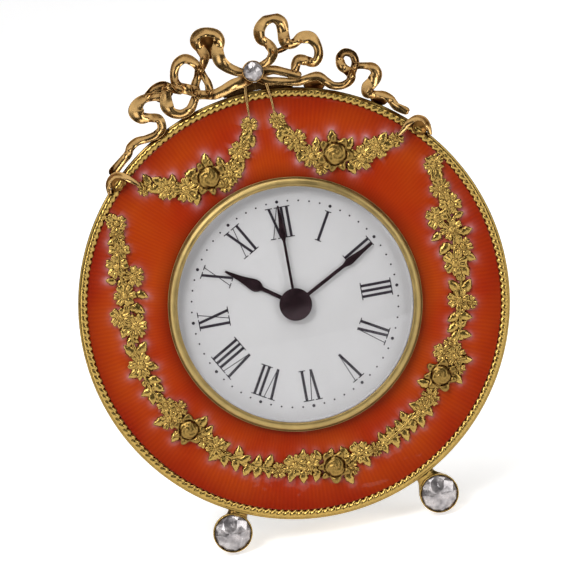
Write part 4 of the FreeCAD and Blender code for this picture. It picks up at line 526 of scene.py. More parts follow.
def make_finishes():
    """Makes every finish once."""
    tint = colours()
    patina_and_shade = hollow_group()
    deep = tuple(tint.gilt_deep)
    # Every gilt below is darkened in its hollows by occlusion: painted shade and patina
    finishes.update(
        # The roses take a darker gilt than the rest of the relief
        rose=gilt("Darker gilt rose", (0.26, 0.165, 0.045), deep, 0.22, 0.0012, 1.6, 0.3, patina_and_shade),
        relief=gilt("Gilt relief", tint.gilt, deep, 0.15, 0.0014, 1.6, 0.35, patina_and_shade),
        bow=gilt("Rose gilt ribbon", tint.gilt_pink, deep, 0.14, 0.0032, 0.8, 0.12, patina_and_shade),
        # Painted shade: a dark gilt for the dished backs inside the loops, standing for the shade there
        shade=gilt("Painted shade gilt", (0.17, 0.085, 0.022), deep, 0.25, 0.002, 0.9, 0.2, patina_and_shade),
        rope=gilt("Gilt rope", tint.gilt, (0.12, 0.015, 0.004), 0.16, 0.0007, 1.4, 0.15, patina_and_shade),
        case=gilt("Gilt case", tuple(c * 0.82 for c in tint.gilt), deep, 0.24, 0.002, 0.7, 0.06, patina_and_shade),
        bezel=gilt("Gilt bezel", (0.36, 0.26, 0.10), deep, 0.32, 0.001, 0.3, 0.04, patina_and_shade),
        enamel=enamel_finish(), glass=glass_finish(), stone=stone_finish(), dial=dial_finish(),
        wire=winding_finish(),
        ring=plain_finish("Pale ring", (0.72, 0.71, 0.73), 0.35, 0.1),
        hands=plain_finish("Dark hands", tuple(tint.hands), 0.34, 0.7, 1.2, 0.25, coat=0.12),
        ink=plain_finish("Numeral black", (0.018, 0.012, 0.020), 0.40, 0.0, 3.0, 0.3),
        black=plain_finish("Black plastic", (0.020, 0.020, 0.022), 0.42, 0.0, 3.0, 0.2, 0.25),
        grip=plain_finish("Grip rubber", (0.03, 0.03, 0.03), 0.7, 0.0, 5.0, 0.3, 0.5),
        gear=plain_finish("Gear plastic", (0.62, 0.58, 0.48), 0.45, 0.0, 2.5, 0.08, 0.12),
        steel=plain_finish("Brushed steel", (0.56, 0.56, 0.58), 0.28, 1.0, 1.5, 0.12, 0.2, (1, 12, 1)),
        board=plain_finish("Circuit board", (0.03, 0.16, 0.06), 0.35, 0.0, 1.2, 0.3, 0.15, coat=0.4),
    )


# The finish of every CAD node, for those that still show
node_finishes = {
    "case": "case_body rim_band back_plate strut_leg hinge_bracket",
    "relief": "foot_collet_left foot_collet_right bow_collet swag_left swag_right garland_left garland_right",
    "bow": "bow_left bow_right bow_saddle tail_wires rim_loop_left rim_loop_right",
    "rope": "rope_border", "bezel": "bezel", "enamel": "enamel_plate", "glass": "crystal",
    "stone": "foot_stone_left foot_stone_right bow_stone", "dial": "dial", "ring": "dial_ring",
    "hands": "hour_hand minute_hand second_hand hand_cap", "black": "insert_cup battery_door setting_knob "
    "main_plate train_bridge", "grip": "grip_ring", "wire": "coil_winding", "board": "circuit_board",
    "gear": "seconds_wheel intermediate_wheel third_wheel centre_wheel minute_wheel hour_wheel rotor",
    "steel": "back_screws movement_screws stator coil_core quartz_can contact_minus contact_plus hinge_pin "
    "bracket_screws battery cannon_pinion setting_arbor",
}


def dress_nodes():
    """Gives every CAD node that still shows its finish."""
    for finish, names in node_finishes.items():
        for name in names.split():
            mesh = frame["nodes"][name].data
            mesh.materials.clear()
            mesh.materials.append(finishes[finish])


def relief_spots():
    """Points along the outline of the relief, with how far the metal reaches from each."""
    bloom_share, leaf_reach, stem_reach = 0.86, 0.35, 0.3
    spots = []
    for relief in reliefs.values():
        spots += [(x, y, r * bloom_share) for x, y, r in relief["flowers"] + relief["roses"]]
        for x, y, length, turn in relief["leaves"]:
            along = Vector((math.cos(math.radians(turn)), math.sin(math.radians(turn)))) * length
            spots += [(x + along.x * k, y + along.y * k, leaf_reach) for k in (-0.4, -0.15, 0.15, 0.4)]
        spots += [(p.x, p.y, stem_reach) for p in smooth_line(relief["stem"], 12)]
    return spots


def make_enamel():
    """The enamel disc, drawn up where it meets the gilt relief and the borders."""
    inner, outer, rows, steps = 28.75, 47.9, 86, 720
    bezel_edge, rope_edge = 28.8, 47.75
    relief_fade, edge_fade, halo_highlight_fade = 0.5, 0.4, 0.55
    top = sizes().enamel_top
    bm = bmesh.new()
    outline = [(inner + (outer - inner) * k / rows, top) for k in range(rows + 1)]
    spun(bm, [(inner, 0.0)] + outline + [(outer, 0.0)], steps)
    spots = relief_spots()
    tree = kdtree.KDTree(len(spots))
    for i, (x, y, _) in enumerate(spots):
        tree.insert((x, y, 0), i)
    tree.balance()
    halo_highlight = bm.verts.layers.float.new("halo_highlight")
    for vert in bm.verts:
        if vert.co.z < top - 0.01:
            continue
        flat = Vector((vert.co.x, vert.co.y, 0))
        radius = flat.length
        near = max(0, min(d - spots[i][2] for _, i, d in tree.find_n(flat, 6)))
        edge = max(0, min(radius - bezel_edge, rope_edge - radius))
        rise = math.exp(-near / relief_fade) + 0.7 * math.exp(-edge / edge_fade)
        wave = noise.noise(flat * 0.22) * 0.05 + noise.noise(flat * 0.9) * 0.012
        vert.co.z += sizes().meniscus * rise + wave
        # Painted highlight mask: strongest next to the relief, and stronger towards the top of the plate,
        # where the light from above falls
        height = 0.5 + 0.5 * (flat.y / radius)
        vert[halo_highlight] = math.exp(-near / halo_highlight_fade) * (0.25 + 0.75 * height)
    placed(bm, "enamel_glaze", "enamel", ["enamel_plate"])


def make_rope():
    """The rope border: a round bead cut by slanted grooves, each lobe pointed at its inner end."""
    count, steps_per_lobe, sides = sizes().rope_lobes, 6, 20
    middle, wide, base, tall = 48.72, 0.93, 0.66, 0.80
    bm = bmesh.new()
    spun(bm, [(middle + wide * c, base + tall * s) for c, s in circle(sides)], count * steps_per_lobe)
    for vert in bm.verts:
        turn = math.atan2(vert.co.y, vert.co.x)
        side = (math.hypot(vert.co.x, vert.co.y) - middle) / wide
        high = (vert.co.z - base) / tall
        phase = (turn * count / math.tau + sizes().rope_slant * side) % 1
        groove = (2 * abs(phase - 0.5)) ** 2.6
        inner = max(0.0, -side)
        inward = max(0.0, 0.5 - side) / 1.5
        cut = groove * (0.16 + 0.40 * inward)
        radius = middle + wide * side * (1 - cut * inner) - 0.10 * (1 - groove) * inner ** 3
        level = base + high * tall * (1 - (cut if high > 0 else 0)) * (1 - 0.15 * inner ** 2)
        vert.co = (radius * math.cos(turn), radius * math.sin(turn), level)
    placed(bm, "rope_lobes", "rope", ["rope_border"])


def make_rim():
    """The plain band outside the rope, with both edges rounded, and the ledge under the rope."""
    bm = bmesh.new()
    spun(bm, [(48.95, -0.9), (49.75, -0.9), (49.93, -0.78), (50.0, -0.55), (50.0, 0.75), (49.94, 0.88),
              (49.80, 0.98), (49.50, 1.04), (49.20, 1.06), (48.95, 1.0), (48.95, 0.4)], 300)
    placed(bm, "outer_band", "case", ["rim_band"])


def make_bezel():
    """The bezel: a fine outer line, a rounded body and a thin bright lip over the glass."""
    bm = bmesh.new()
    spun(bm, [(29.42, 0.9), (29.42, 1.85), (29.40, 2.02), (29.34, 2.10), (29.27, 2.10), (29.22, 2.00),
              (29.16, 2.06), (29.08, 2.26), (29.00, 2.48), (28.76, 2.70), (28.45, 2.90), (28.05, 3.04),
              (27.60, 3.10), (27.52, 3.04), (27.44, 3.12), (27.34, 3.14), (27.26, 3.06), (27.24, 2.90),
              (27.24, 2.2), (28.32, 2.2), (28.75, 0.9)], 240)
    placed(bm, "bezel_ring", "bezel", ["bezel"])


def make_glass():
    """The domed glass, one even skin deep."""
    rise, reach, edge_level, foot_level, skin, rows = 3.1, 28.25, 2.25, 1.3, 0.8, 24
    ball = (reach * reach + rise * rise) / (2 * rise)
    dome = [(reach * k / rows, edge_level - ball + rise + math.sqrt(ball * ball - (reach * k / rows) ** 2))
            for k in range(rows, -1, -1)]
    bm = bmesh.new()
    spun(bm, [(reach, foot_level)] + dome + [(r, z - skin) for r, z in reversed(dome)], 160)
    placed(bm, "watch_glass", "glass", ["crystal"])


numerals = ["XII", "I", "II", "III", "IV", "V", "VI", "VII", "VIII", "IX", "X", "XI"]
# Each letter: its width, its strokes as foot and head across and weight, and its serifs as height, place
# across and reach. All are shares of a letter's width, height or weight.
letters = {
    "I": (0.46, [(0.5, 0.5, 1.0)], [(0.0, 0.5, 0.74), (1.0, 0.5, 0.74)]),
    "V": (1.0, [(0.46, 0.17, 1.0), (0.50, 0.84, 0.28)], [(1.0, 0.17, 0.78), (1.0, 0.84, 0.60)]),
    "X": (1.0, [(0.84, 0.16, 1.0), (0.14, 0.86, 0.28)],
          [(1.0, 0.16, 0.78), (1.0, 0.86, 0.60), (0.0, 0.84, 0.78), (0.0, 0.14, 0.60)]),
}


def dial_axes(turn):
    """The directions out from the middle of the dial and across, at a turn from twelve o'clock."""
    return Vector((math.sin(turn), math.cos(turn), 0)), Vector((math.cos(turn), -math.sin(turn), 0))


def make_numerals():
    """Roman numerals and minute dots, a thin raised print on the dial."""
    foot, head = sizes().numeral_inner, sizes().numeral_outer
    weight, wide, serif_depth, serif_reach = 0.63, 2.72, 0.22, 1.06
    hour_dot, minute_dot = 0.37, 0.21
    levels = (0.585, 0.655)
    bm = bmesh.new()

    def printed(turn, corners):
        out, right = dial_axes(turn)
        swept(bm, [[out * v + right * u + Vector((0, 0, z)) for u, v in corners] for z in levels])

    for hour, word in enumerate(numerals):
        turn = math.radians(30 * hour)
        start = -sum(letters[letter][0] for letter in word) * wide / 2
        for letter in word:
            share, strokes, serifs = letters[letter]
            for low, high, heavy in strokes:
                a, b, half = start + low * share * wide, start + high * share * wide, weight * heavy / 2
                printed(turn, [(a - half, foot), (a + half, foot), (b + half, head), (b - half, head)])
            for level, across, reach in serifs:
                at, v, half = start + across * share * wide, foot + (head - foot) * level, reach * serif_reach
                inner = v + (serif_depth if level == 0 else -serif_depth)
                printed(turn, [(at - half, v), (at + half, v), (at + half, inner), (at - half, inner)])
            start += share * wide
    for minute in range(60):
        middle = dial_axes(math.radians(6 * minute))[0] * sizes().dot_ring
        size = hour_dot if minute % 5 == 0 else minute_dot
        swept(bm, [[middle + Vector((size * c, size * s, z)) for c, s in circle(14)] for z in levels])
    placed(bm, "dial_print", "ink", smooth=False)


# Each hand: its body, its turn from twelve in degrees, its level, and radius and half width along the blade
hand_outlines = {
    "hour": ("hours", 305.5, 0.9, [(0, 0.47), (8.2, 0.47), (8.6, 0.62), (9.1, 1.04), (9.7, 1.36),
                                   (10.4, 1.44), (11.3, 1.30), (12.5, 1.0), (14.0, 0.70), (16.0, 0.44),
                                   (17.5, 0.30), (17.95, 0.18)]),
    "minute": ("minutes", 62.0, 1.3, [(0, 0.42), (14.2, 0.42), (14.7, 0.58), (15.5, 0.86), (16.3, 0.89),
                                      (17.5, 0.75), (19.3, 0.52), (21.3, 0.36), (22.4, 0.28), (22.65, 0.16)]),
    "second": ("seconds", 0.0, 1.7, [(0, 0.31), (14.8, 0.31), (15.3, 0.48), (16.1, 0.73), (16.9, 0.76),
                                     (18.1, 0.62), (20.0, 0.42), (22.0, 0.28), (23.0, 0.20), (23.15, 0.12)]),
}


def make_hands():
    """The three hands, each a blade with eased edges on its boss."""
    section = ((1, 0.01), (1, 0.12), (0.72, 0.19), (-0.72, 0.19), (-1, 0.12), (-1, 0.01))
    boss = ((0, 0.01), (1.7, 0.01), (1.7, 0.14), (1.6, 0.19), (0, 0.19))
    for name, (body, turn, low, outline) in hand_outlines.items():
        out, side = dial_axes(math.radians(turn))
        bm = bmesh.new()
        swept(bm, [[out * r + side * half * across + Vector((0, 0, low + up)) for across, up in section]
                   for r, half in outline])
        spun(bm, [(r, low + up) for r, up in boss], 40, closed=False)
        placed(bm, name + "_blade", "hands", [name + "_hand"], body, smooth=False)


# Half the section of a ribbon on edge: place across and height, as shares, with a shallow trough between
ribbon_flank = [(0.80, 0.0), (0.90, 0.35), (1.0, 0.92), (0.985, 0.985), (0.94, 1.0), (0.87, 0.975),
                (0.55, 0.86)]
ribbon_section = ribbon_flank + [(0.0, 0.81)] + [(-across, up) for across, up in reversed(ribbon_flank)]
# The top of the clock's box, in face millimetres
highest = 66.45


def bends_along(line, reach=4):
    """How sharply a line bends to the right at each of its points, measured over a few steps each way."""
    last = len(line) - 1
    bends = []
    for i, spot in enumerate(line):
        before, after = (spot - line[max(i - reach, 0)]).xy, (line[min(i + reach, last)] - spot).xy
        bend = 0.0
        if before.length > 1e-6 and after.length > 1e-6:
            bend = before.angle_signed(after) / (0.5 * (before.length + after.length))
        bends.append(-bend)
    return bends


def ribbon(bm, strand, back, front, roll=0.0):
    """One strand of ribbon on edge: its front slopes into each bend and widens there, as a folded band."""
    half_share, bend_widening, lean_gain, slope = 0.55, 0.12, 3.0, 0.75
    line = smooth_line(strand, 8)
    bends = bends_along(line)
    rings = []
    for i, spot in enumerate(line):
        near = bends[max(0, i - 5):i + 6]
        lean = max(-1.0, min(1.0, lean_gain * sum(near) / len(near)))
        side = side_at(line, i)
        half = half_share * spot.z * (1 + bend_widening * abs(lean))
        crest = front + 0.10 * math.sin(i * 0.35 + roll)
        ring = []
        for across, up in ribbon_section:
            outer = half * across
            tilt = slope * (across * lean + 0.55 * abs(lean) + 0.45 * across * math.sin(i * 0.11 + roll))
            level = back + (crest - back) * up - (max(0.0, tilt) if up > 0.3 else 0)
            ring.append(Vector((spot.x + side.x * outer, min(highest, spot.y + side.y * outer),
                                max(level, back + 0.3 * (up > 0)))))
        rings.append(ring)
    swept(bm, rings)


def dish_pattern():
    """A shallow dish of radius one, the backing of a loop of ribbon."""
    bm = bmesh.new()
    hollow = [(r, 0.9 * r * r) for r in (0.0, 0.3, 0.55, 0.8, 1.0)]
    spun(bm, hollow + [(1.0, -0.5), (0.0, -0.5)], 20, closed=False)
    return mesh_from(bm, "dish pattern")


def dish(bm, pattern, x, y, wide, tall, turn, level):
    """Adds a dished backing inside a loop of ribbon."""
    for vert in stamped(bm, pattern, 0, 0, 1, 0):
        vert.co = (vert.co.x * wide, vert.co.y * tall, vert.co.z)
        vert.co.rotate(Matrix.Rotation(turn, 3, "Z"))
        vert.co += Vector((x, y, level))


# The dished backs of the loops, in a dark gilt that paints the shade inside them: x, y, half width, half
# height and turn
bow_backs = {
    "left": ((-8.9, 61.9, 2.0, 3.0, 0.1), (-20.9, 53.1, 2.5, 1.75, 0.5), (-4.75, 50.5, 4.25, 1.4, -0.12)),
    "right": ((13.5, 49.1, 2.5, 1.8, -0.2), (27.6, 42.9, 2.0, 1.3, -0.5), (5.0, 49.75, 4.25, 1.3, 0.10)),
}
rim_backs = {"left": (-35.3, 34.9, 1.8, 1.8, 0.0), "right": (35.653, 34.9, 1.8, 1.8, 0.0)}


def make_bow():
    """Both halves of the bow, the ribbon ends on the rim, the dished backs of the loops, the tail wires."""
    knot_height, knot_reach = 54.15, 3.5
    rim_back, rim_front, rim_dish_level = 1.2, 2.9, 0.9
    back, front = sizes().ribbon_back, sizes().ribbon_front
    backing = dish_pattern()
    for side, strands in bow_shares.items():
        bm = bmesh.new()
        for k, shares in enumerate(strands):
            strand = [in_mm(point) for point in shares]
            if abs(strand[0][0]) < knot_reach:
                strand.insert(0, (0.0, 0.3 * strand[0][1] + 0.7 * knot_height, strand[0][2]))
            (x, y, w), (x2, y2, _) = strand[-1], strand[-2]
            strand.append((x + 0.3 * (x - x2), y + 0.3 * (y - y2), 0.45 * w))
            ribbon(bm, strand, back, front - 0.12 * (k % 3), k)
        placed(bm, "bow_ribbon_" + side, "bow", ["bow_" + side])
        bm = bmesh.new()
        for spot in bow_backs[side]:
            dish(bm, backing, *spot, back + 0.5)
        placed(bm, "bow_backs_" + side, "shade")
    for side, shares in rim_shares.items():
        bm = bmesh.new()
        strand = [in_mm(point) for point in shares]
        widths = [0.4] + [0.6] * (len(strand) - 1)
        ribbon(bm, [(x, y, share * w) for (x, y, w), share in zip(strand, widths)], rim_back, rim_front)
        placed(bm, "rim_ribbon_" + side, "bow", ["rim_loop_" + side])
        bm = bmesh.new()
        # Painted shade: a dark dish inside the rim loop
        dish(bm, backing, *rim_backs[side], rim_dish_level)
        placed(bm, "rim_hollow_" + side, "shade")
    bm = bmesh.new()
    for points in (((-2.4, 51.6), (-2.55, 50.0), (-2.65, 47.5), (-2.72, 44.4)),
                   ((2.5, 51.2), (2.65, 50.0), (2.95, 47.5), (3.12, 44.2))):
        line = smooth_line(points, 6)
        rings = []
        for i, spot in enumerate(line):
            thick = 0.42 - 0.18 * i / len(line)
            rings.append([Vector((spot.x + thick * c, spot.y, 1.85 + thick * s)) for c, s in circle(10)])
        swept(bm, rings)
    placed(bm, "tail_wire_pair", "bow", ["tail_wires"])


# The height of the outer edge of every flower and rose, below the face of the enamel
bloom_foot = 0.55


def bloom(name, radii, steps, shape):
    """A pattern of radius one whose points are moved by a function of radius and direction."""
    bm = bmesh.new()
    spun(bm, [(r, 0) for r in radii], steps, closed=False)
    for vert in bm.verts:
        share = math.hypot(vert.co.x, vert.co.y)
        size, level = shape(share, math.atan2(vert.co.y, vert.co.x))
        vert.co = (vert.co.x * size, vert.co.y * size, bloom_foot if share > 0.99 else level)
    return mesh_from(bm, name)


def flower_pattern(petals, notch):
    """A flower of flat creased petals round a small heart, of radius one."""
    heart, petal_start = 0.26, 0.34

    def shape(share, turn):
        cell = (turn * petals / math.tau + 0.10 * math.sin(2 * turn)) % 1
        middle = 2 * min(cell, 1 - cell)
        groove = math.exp(-(middle / 0.24) ** 2)
        crease = math.exp(-((1 - middle) / 0.20) ** 2)
        reach = 1 - 0.30 * groove - notch * crease + 0.05 * math.sin(3 * turn + 1)
        if share < heart:
            level = 1.50 + 0.24 * math.sqrt(max(0, 1 - (share / heart) ** 2))
            level += 0.05 * math.sin(7 * turn) * (share > 0.05)
        elif share < petal_start:
            level = 1.26
        else:
            level = 1.36 + 0.26 * math.sin(math.pi * 0.85 * min(1, (share - 0.30) / 0.70))
            level -= 0.44 * groove * min(1, 3 * (share - 0.28)) + 0.16 * crease
            level += 0.10 * math.sin(4 * math.pi * middle) * share
        return 1 + (reach - 1) * min(1, share * 1.2), level

    return bloom("flower pattern", (0.0, 0.10, 0.19, 0.25, 0.32, 0.46, 0.62, 0.78, 0.90, 0.98, 1.0),
                 petals * 10, shape)


def rose_pattern():
    """A rose: a full round bloom of spiral petals within a ring of pointed sepals, of radius one."""
    petal_end, sepal_start = 0.63, 0.69

    def shape(share, turn):
        size = 1 + 0.03 * math.sin(5 * turn)
        if share < petal_end:
            groove = abs(math.sin(1.5 * turn - share * 9.5)) ** 0.6
            level = 1.15 + 1.55 * math.sqrt(max(0, 1 - (share / 0.68) ** 2))
            level -= 0.34 * (1 - groove) * min(1, share * 4)
        elif share < sepal_start:
            level = 1.12 + 0.10 * math.sin(9 * turn)
        else:
            spike = abs(math.cos(3.5 * turn + 0.5 * math.sin(2 * turn))) ** 1.5
            size = 0.74 + 0.36 * spike if share > 0.75 else 0.97
            level = 1.50 + 0.35 * spike - 0.7 * max(0, share - 0.8)
        return size, level

    return bloom("rose pattern", (0.0, 0.07, 0.14, 0.21, 0.28, 0.35, 0.42, 0.49, 0.55, 0.61, 0.66, 0.71, 0.78,
                                  0.88, 0.98, 1.0), 56, shape)


def leaf_pattern():
    """A broad toothed leaf of length one with a raised rib and side veins."""
    bm = bmesh.new()
    bmesh.ops.create_grid(bm, x_segments=10, y_segments=4, size=1)
    for vert in bm.verts:
        along, across = vert.co.x, vert.co.y
        outer = abs(across)
        tooth = 1 + 0.16 * math.sin(along * 11.0)
        wide = (1 - abs(along) ** 2.1) ** 0.75 * (0.36 - 0.10 * along) * tooth
        rib = 0.62 * (1.0 - outer) ** 0.6 * (1 - along * along * 0.5)
        vein = 0.12 * math.sin(along * 13 + outer * 3.0)
        vert.co = (along * 0.54 - 0.05 * outer, across * wide, 0.92 + rib + 0.22 * outer + vein * outer)
    rim = [e for e in bm.edges if e.is_boundary]
    fresh = bmesh.ops.extrude_edge_only(bm, edges=rim)["geom"]
    for vert in (g for g in fresh if isinstance(g, bmesh.types.BMVert)):
        vert.co.z = 0.5
    bmesh.ops.remove_doubles(bm, verts=bm.verts, dist=1e-4)
    return mesh_from(bm, "leaf pattern")


def roughened(bm, reach):
    """Works the top of the relief a little uneven, as chasing leaves it."""
    for vert in bm.verts:
        if vert.co.z > 0.8:
            vert.co += noise.noise_vector(vert.co * 1.5) * reach
            vert.co.z += 0.05 * noise.noise(vert.co * 5.0)


def make_stem(bm, points, leaf, way):
    """A stem with small leaves in pairs along it, which point along it (1) or against it (-1)."""
    line = smooth_line(points, 6)
    rings = []
    for i, spot in enumerate(line):
        side = side_at(line, i)
        thick = 0.40 + 0.08 * math.sin(i * 1.7)
        rings.append([Vector((spot.x + side.x * thick * c, spot.y + side.y * thick * c, 1.05 + thick * s))
                      for c, s in circle(8)])
    swept(bm, rings)
    for i in range(3, len(line) - 3, 3):
        ahead = (line[i + 1] - line[i]).normalized()
        side = Vector((-ahead.y, ahead.x))
        course = math.atan2(ahead.y, ahead.x) + (0 if way > 0 else math.pi)
        for sign in (-1, 1):
            spot = line[i] + side * sign * (0.62 + 0.16 * math.sin(i * 2.3 + sign))
            stamped(bm, leaf, spot.x, spot.y, 2.1 + 0.4 * math.sin(i * 1.3 + sign),
                    course + sign * (0.45 + 0.25 * math.sin(i * 0.9)), -0.14)


def make_garlands():
    """Swags and garlands: flowers, roses, leaves and stems in relief on the enamel."""
    bloom_growth, rose_growth = 1.22, 1.26
    patterns = [flower_pattern(5, 0.10), flower_pattern(7, 0.07), flower_pattern(6, 0.09)]
    rose, leaf = rose_pattern(), leaf_pattern()
    for name, relief in reliefs.items():
        bm = bmesh.new()
        for k, (x, y, radius) in enumerate(relief["flowers"]):
            stamped(bm, patterns[k % 3], x, y, radius * bloom_growth, k * 0.7)
        for x, y, length, turn in relief["leaves"]:
            stamped(bm, leaf, x, y, length * bloom_growth, math.radians(turn))
        make_stem(bm, relief["stem"], leaf, sizes().garland_way if name.startswith("garland") else 1)
        roughened(bm, 0.15)
        placed(bm, name + "_relief", "relief", [name])
        bm = bmesh.new()
        for x, y, radius in relief["roses"]:
            stamped(bm, rose, x, y, radius * rose_growth, x / plate_radius * 5)
        roughened(bm, 0.08)
        placed(bm, name + "_roses", "rose")


def gem(bm, x, y, radius, low, top):
    """A rose-cut stone: facets that rise from the girdle to a small table a little off the middle."""
    high = top - low
    rings = []
    for level, share, swing, shift in ((-0.3, 0.99, 0.0, 0.0), (0.0, 1.035, 0.0, 0.0),
                                       (0.22 * high, 1.01, 0.0, 0.0), (0.66 * high, 0.70, 0.10, 0.03),
                                       (0.93 * high, 0.34, -0.12, 0.08), (high, 0.10, 0.14, 0.10)):
        ring = []
        for k, (c, s) in enumerate(circle(sizes().stone_facets)):
            reach = share * (1 + swing * (-1) ** k)
            ring.append(Vector((x + radius * (reach * c - shift), y + radius * (reach * s + shift),
                                low + level)))
        rings.append(ring)
    swept(bm, rings)
    bmesh.ops.triangulate(bm, faces=bm.faces)


def make_stones():
    """The three stones in their collets: two feet and the knot of the bow."""
    foot_y, knot_y = -49.6, 54.4
    feet = {"left": -23.8, "right": 25.1}
    for name, x, y, radius, low, top, node in (
            ("foot_gem_left", feet["left"], foot_y, 4.2, 0.2, 2.0, "foot_stone_left"),
            ("foot_gem_right", feet["right"], foot_y, 4.2, 0.2, 2.0, "foot_stone_right"),
            ("bow_gem", 0.0, knot_y, 2.24, 2.2, 3.7, "bow_stone")):
        bm = bmesh.new()
        gem(bm, x, y, radius, low, top)
        placed(bm, name, "stone", [node], smooth=False)
    for side, x in feet.items():
        bm = bmesh.new()
        spun(bm, [(0, -3.9), (1.6, -3.85), (3.2, -3.3), (4.2, -2.3), (4.55, -1.0), (4.6, 0.3), (4.56, 0.75),
                  (4.48, 0.95), (4.36, 0.92), (4.28, 0.75), (4.24, 0.45), (4.24, 0.1), (3.5, -0.3),
                  (0, -0.3)], 72, (x, foot_y, 0), closed=False)
        out = Vector((x, foot_y, 0)).normalized()
        along = Vector((-out.y, out.x, 0))
        neck = ((55.2, 4.45, 0.50), (53.4, 4.05, 0.56), (52.4, 3.35, 0.62), (51.6, 2.75, 0.74),
                (50.9, 2.4, 0.88), (50.3, 2.35, 0.90), (49.8, 2.6, 0.92))
        swept(bm, [[out * radius + along * half * c + Vector((0, 0, -1.3 + 2.3 * high * s))
                    for c, s in circle(20)] for radius, half, high in neck])
        placed(bm, "foot_setting_" + side, "relief", ["foot_collet_" + side])
    bm = bmesh.new()
    spun(bm, [(0, -1.2), (1.9, -1.2), (2.3, -0.6), (2.5, 0.8), (2.5, 2.45), (2.46, 2.62), (2.36, 2.68),
              (2.27, 2.6), (2.24, 2.2), (0, 2.2)], 64, (0, knot_y, 0), closed=False)
    placed(bm, "bow_setting", "bow", ["bow_collet"])


def light(name, spot, aim, wide, tall, power):
    """A soft rectangular lamp."""
    lamp = bpy.data.lights.new(name, "AREA")
    lamp.shape = "RECTANGLE"
    lamp.size, lamp.size_y, lamp.energy = wide, tall, power
    thing = bpy.data.objects.new(name, lamp)
    thing.location = spot
    thing.rotation_euler = (Vector(aim) - Vector(spot)).to_track_quat("-Z", "Y").to_euler()
    bpy.context.scene.collection.objects.link(thing)


def seen_only(tree):
    """One where a ray from the camera, a reflection or a glass arrives."""
    path = tree.nodes.new("ShaderNodeLightPath").outputs
    total = path["Is Camera Ray"]
    for name in ("Is Glossy Ray", "Is Transmission Ray"):
        total = add_node(tree, "ShaderNodeMath", {"operation": "MAXIMUM"}, n0=total, n1=path[name]).outputs[0]
    return total


def make_room():
    """The floor and the walls of the studio, which glow only where they are seen."""
    white = (1, 1, 1, 1)
    floor, shader = principled("Floor paint", Base_Color=(0.86, 0.86, 0.86, 1), Roughness=0.9,
                               Emission_Color=white)
    tree = floor.node_tree
    glow = add_node(tree, "ShaderNodeMath", {"operation": "MULTIPLY"}, n0=seen_only(tree), n1=0.62)
    tree.links.new(glow.outputs[0], shader.inputs["Emission Strength"])
    bm = bmesh.new()
    bmesh.ops.create_grid(bm, x_segments=4, y_segments=4, size=3)
    ground = shown(bm, "studio_floor", floor)

    wall, shader = principled("Studio wall", Base_Color=(0.10, 0.095, 0.09, 1), Emission_Color=white)
    path = wall.node_tree.nodes.new("ShaderNodeLightPath")
    wall.node_tree.links.new(path.outputs["Is Camera Ray"], shader.inputs["Emission Strength"])
    bm = bmesh.new()
    room = Matrix.Translation((0, 0.2, 0.9)) @ Matrix.Diagonal((1.4, 1.6, 1.0, 1))
    bmesh.ops.create_cube(bm, size=2, matrix=room)
    gone = [f for f in bm.faces if f.normal.z < -0.5 or f.normal.y > 0.5]
    bmesh.ops.delete(bm, geom=gone, context="FACES")
    walls = shown(bm, "studio_walls", wall)


def make_camera():
    """The camera of the photograph, set from the middle of the dial."""
    distance, field = 600, 132.8
    roll, above, beside = math.radians(10.4), math.radians(3.9), math.radians(3.5)
    aim = Vector((-0.95, 3.93, 0))
    spot = aim + Vector((-math.sin(beside), math.sin(above), math.cos(above))) * distance
    toward = (face_place @ aim - face_place @ spot).normalized()
    up = (face_place.to_3x3() @ Vector((math.sin(roll), math.cos(roll), 0))).normalized()
    right = toward.cross(up).normalized()
    up = right.cross(toward)
    view = bpy.data.cameras.new("Photo camera")
    view.lens = view.sensor_width * distance / field
    view.clip_start = 0.01
    eye = bpy.data.objects.new("Photo camera", view)
    stand = Matrix((right, up, -toward)).transposed().to_4x4()
    eye.matrix_world = Matrix.Translation(face_place @ spot) @ stand
    scene = bpy.context.scene
    scene.collection.objects.link(eye)
    scene.camera = eye
    scene.view_settings.view_transform = "Standard"


def make_stage():
    """The room, the sky, the lamps and the camera."""
    make_room()
    sky = bpy.data.worlds.new("Studio sky")
    sky.use_nodes = True
    tree = sky.node_tree
    back = tree.nodes["Background"].inputs
    back["Color"].default_value = (1, 1, 1, 1)
    level = add_node(tree, "ShaderNodeMath", {"operation": "MULTIPLY_ADD"}, n0=seen_only(tree), n1=0.35,
                     n2=0.65)
    tree.links.new(level.outputs[0], back["Strength"])
    bpy.context.scene.world = sky
    for name, spot, wide, tall, power in (
            ("Key lamp", (-0.55, -0.75, 0.95), 0.55, 0.55, 9.2),
            ("Fill lamp", (0.75, -0.70, 0.45), 0.5, 0.7, 3.5),
            ("Top lamp", (0.05, -0.15, 1.05), 0.8, 0.4, 4.6),
            ("Left lamp", (-0.95, -0.45, 0.25), 0.3, 0.6, 2.6)):
        light(name, spot, face_middle, wide, tall, power)
    make_camera()


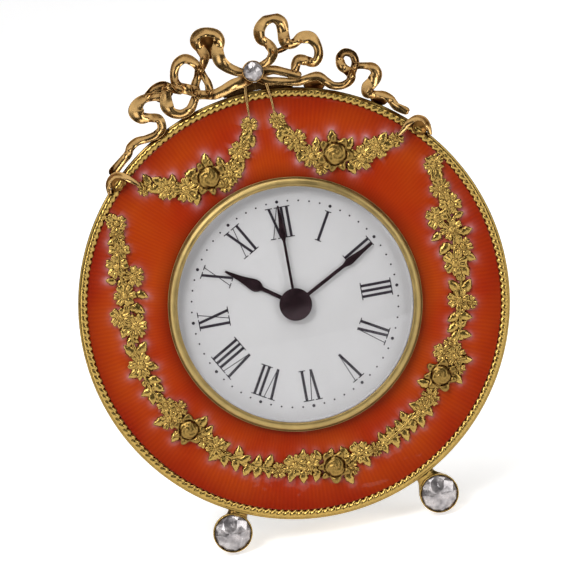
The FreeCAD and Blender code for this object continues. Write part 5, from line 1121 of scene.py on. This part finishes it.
def operator_for(label, idname, note, *works):
    """An operator that runs one or more builders."""
    def execute(self, context):
        for work in works:
            work()
        return {"FINISHED"}
    return type("CLOCK_OT_" + idname, (bpy.types.Operator,), {
        "__doc__": note, "bl_idname": "clock." + idname, "bl_label": label,
        "bl_options": {"REGISTER", "UNDO"}, "execute": execute})


operators = [
    operator_for("Finishes", "finishes", "Makes every finish of the clock", make_finishes, dress_nodes),
    operator_for("Enamel", "enamel", "Makes the enamel plate", make_enamel),
    operator_for("Borders", "borders", "Makes the rope border and the outer band", make_rope, make_rim),
    operator_for("Bezel and glass", "bezel", "Makes the bezel and the glass", make_bezel, make_glass),
    operator_for("Dial print", "numerals", "Makes the numerals and dots", make_numerals),
    operator_for("Hands", "hands", "Makes the hour, minute and seconds hands", make_hands),
    operator_for("Bow", "bow", "Makes the ribbons of the bow", make_bow),
    operator_for("Garlands", "garlands", "Makes the swags and garlands", make_garlands),
    operator_for("Stones", "stones", "Makes the stones and their settings", make_stones),
    operator_for("Stage", "stage", "Makes the floor, lamps and camera", make_stage),
]


class CLOCK_PT_panel(bpy.types.Panel):
    """Lists the steps that build the clock"""
    bl_label = "Pendulette"
    bl_idname = "CLOCK_PT_panel"
    bl_space_type = "VIEW_3D"
    bl_region_type = "UI"
    bl_category = "Pendulette"

    def draw(self, context):
        """Draws the buttons and settings."""
        for step in operators:
            self.layout.operator(step.bl_idname)
        for settings in (context.scene.clock_sizes, context.scene.clock_colours):
            for key in settings.bl_rna.properties.keys():
                if key not in ("rna_type", "name"):
                    self.layout.prop(settings, key)


def register():
    """Registers the settings, operators and panel."""
    for kind in (ClockSizes, ClockColours, *operators, CLOCK_PT_panel):
        bpy.utils.register_class(kind)
    bpy.types.Scene.clock_sizes = PointerProperty(type=ClockSizes)
    bpy.types.Scene.clock_colours = PointerProperty(type=ClockColours)


def unregister():
    """Takes them away again."""
    del bpy.types.Scene.clock_colours
    del bpy.types.Scene.clock_sizes
    for kind in reversed((ClockSizes, ClockColours, *operators, CLOCK_PT_panel)):
        bpy.utils.unregister_class(kind)


def main():
    """Builds the whole clock and writes its size before and after."""
    register()
    for step in operators:
        getattr(bpy.ops.clock, step.bl_idname.split(".")[1])()


if __name__ == "__main__":
    main()
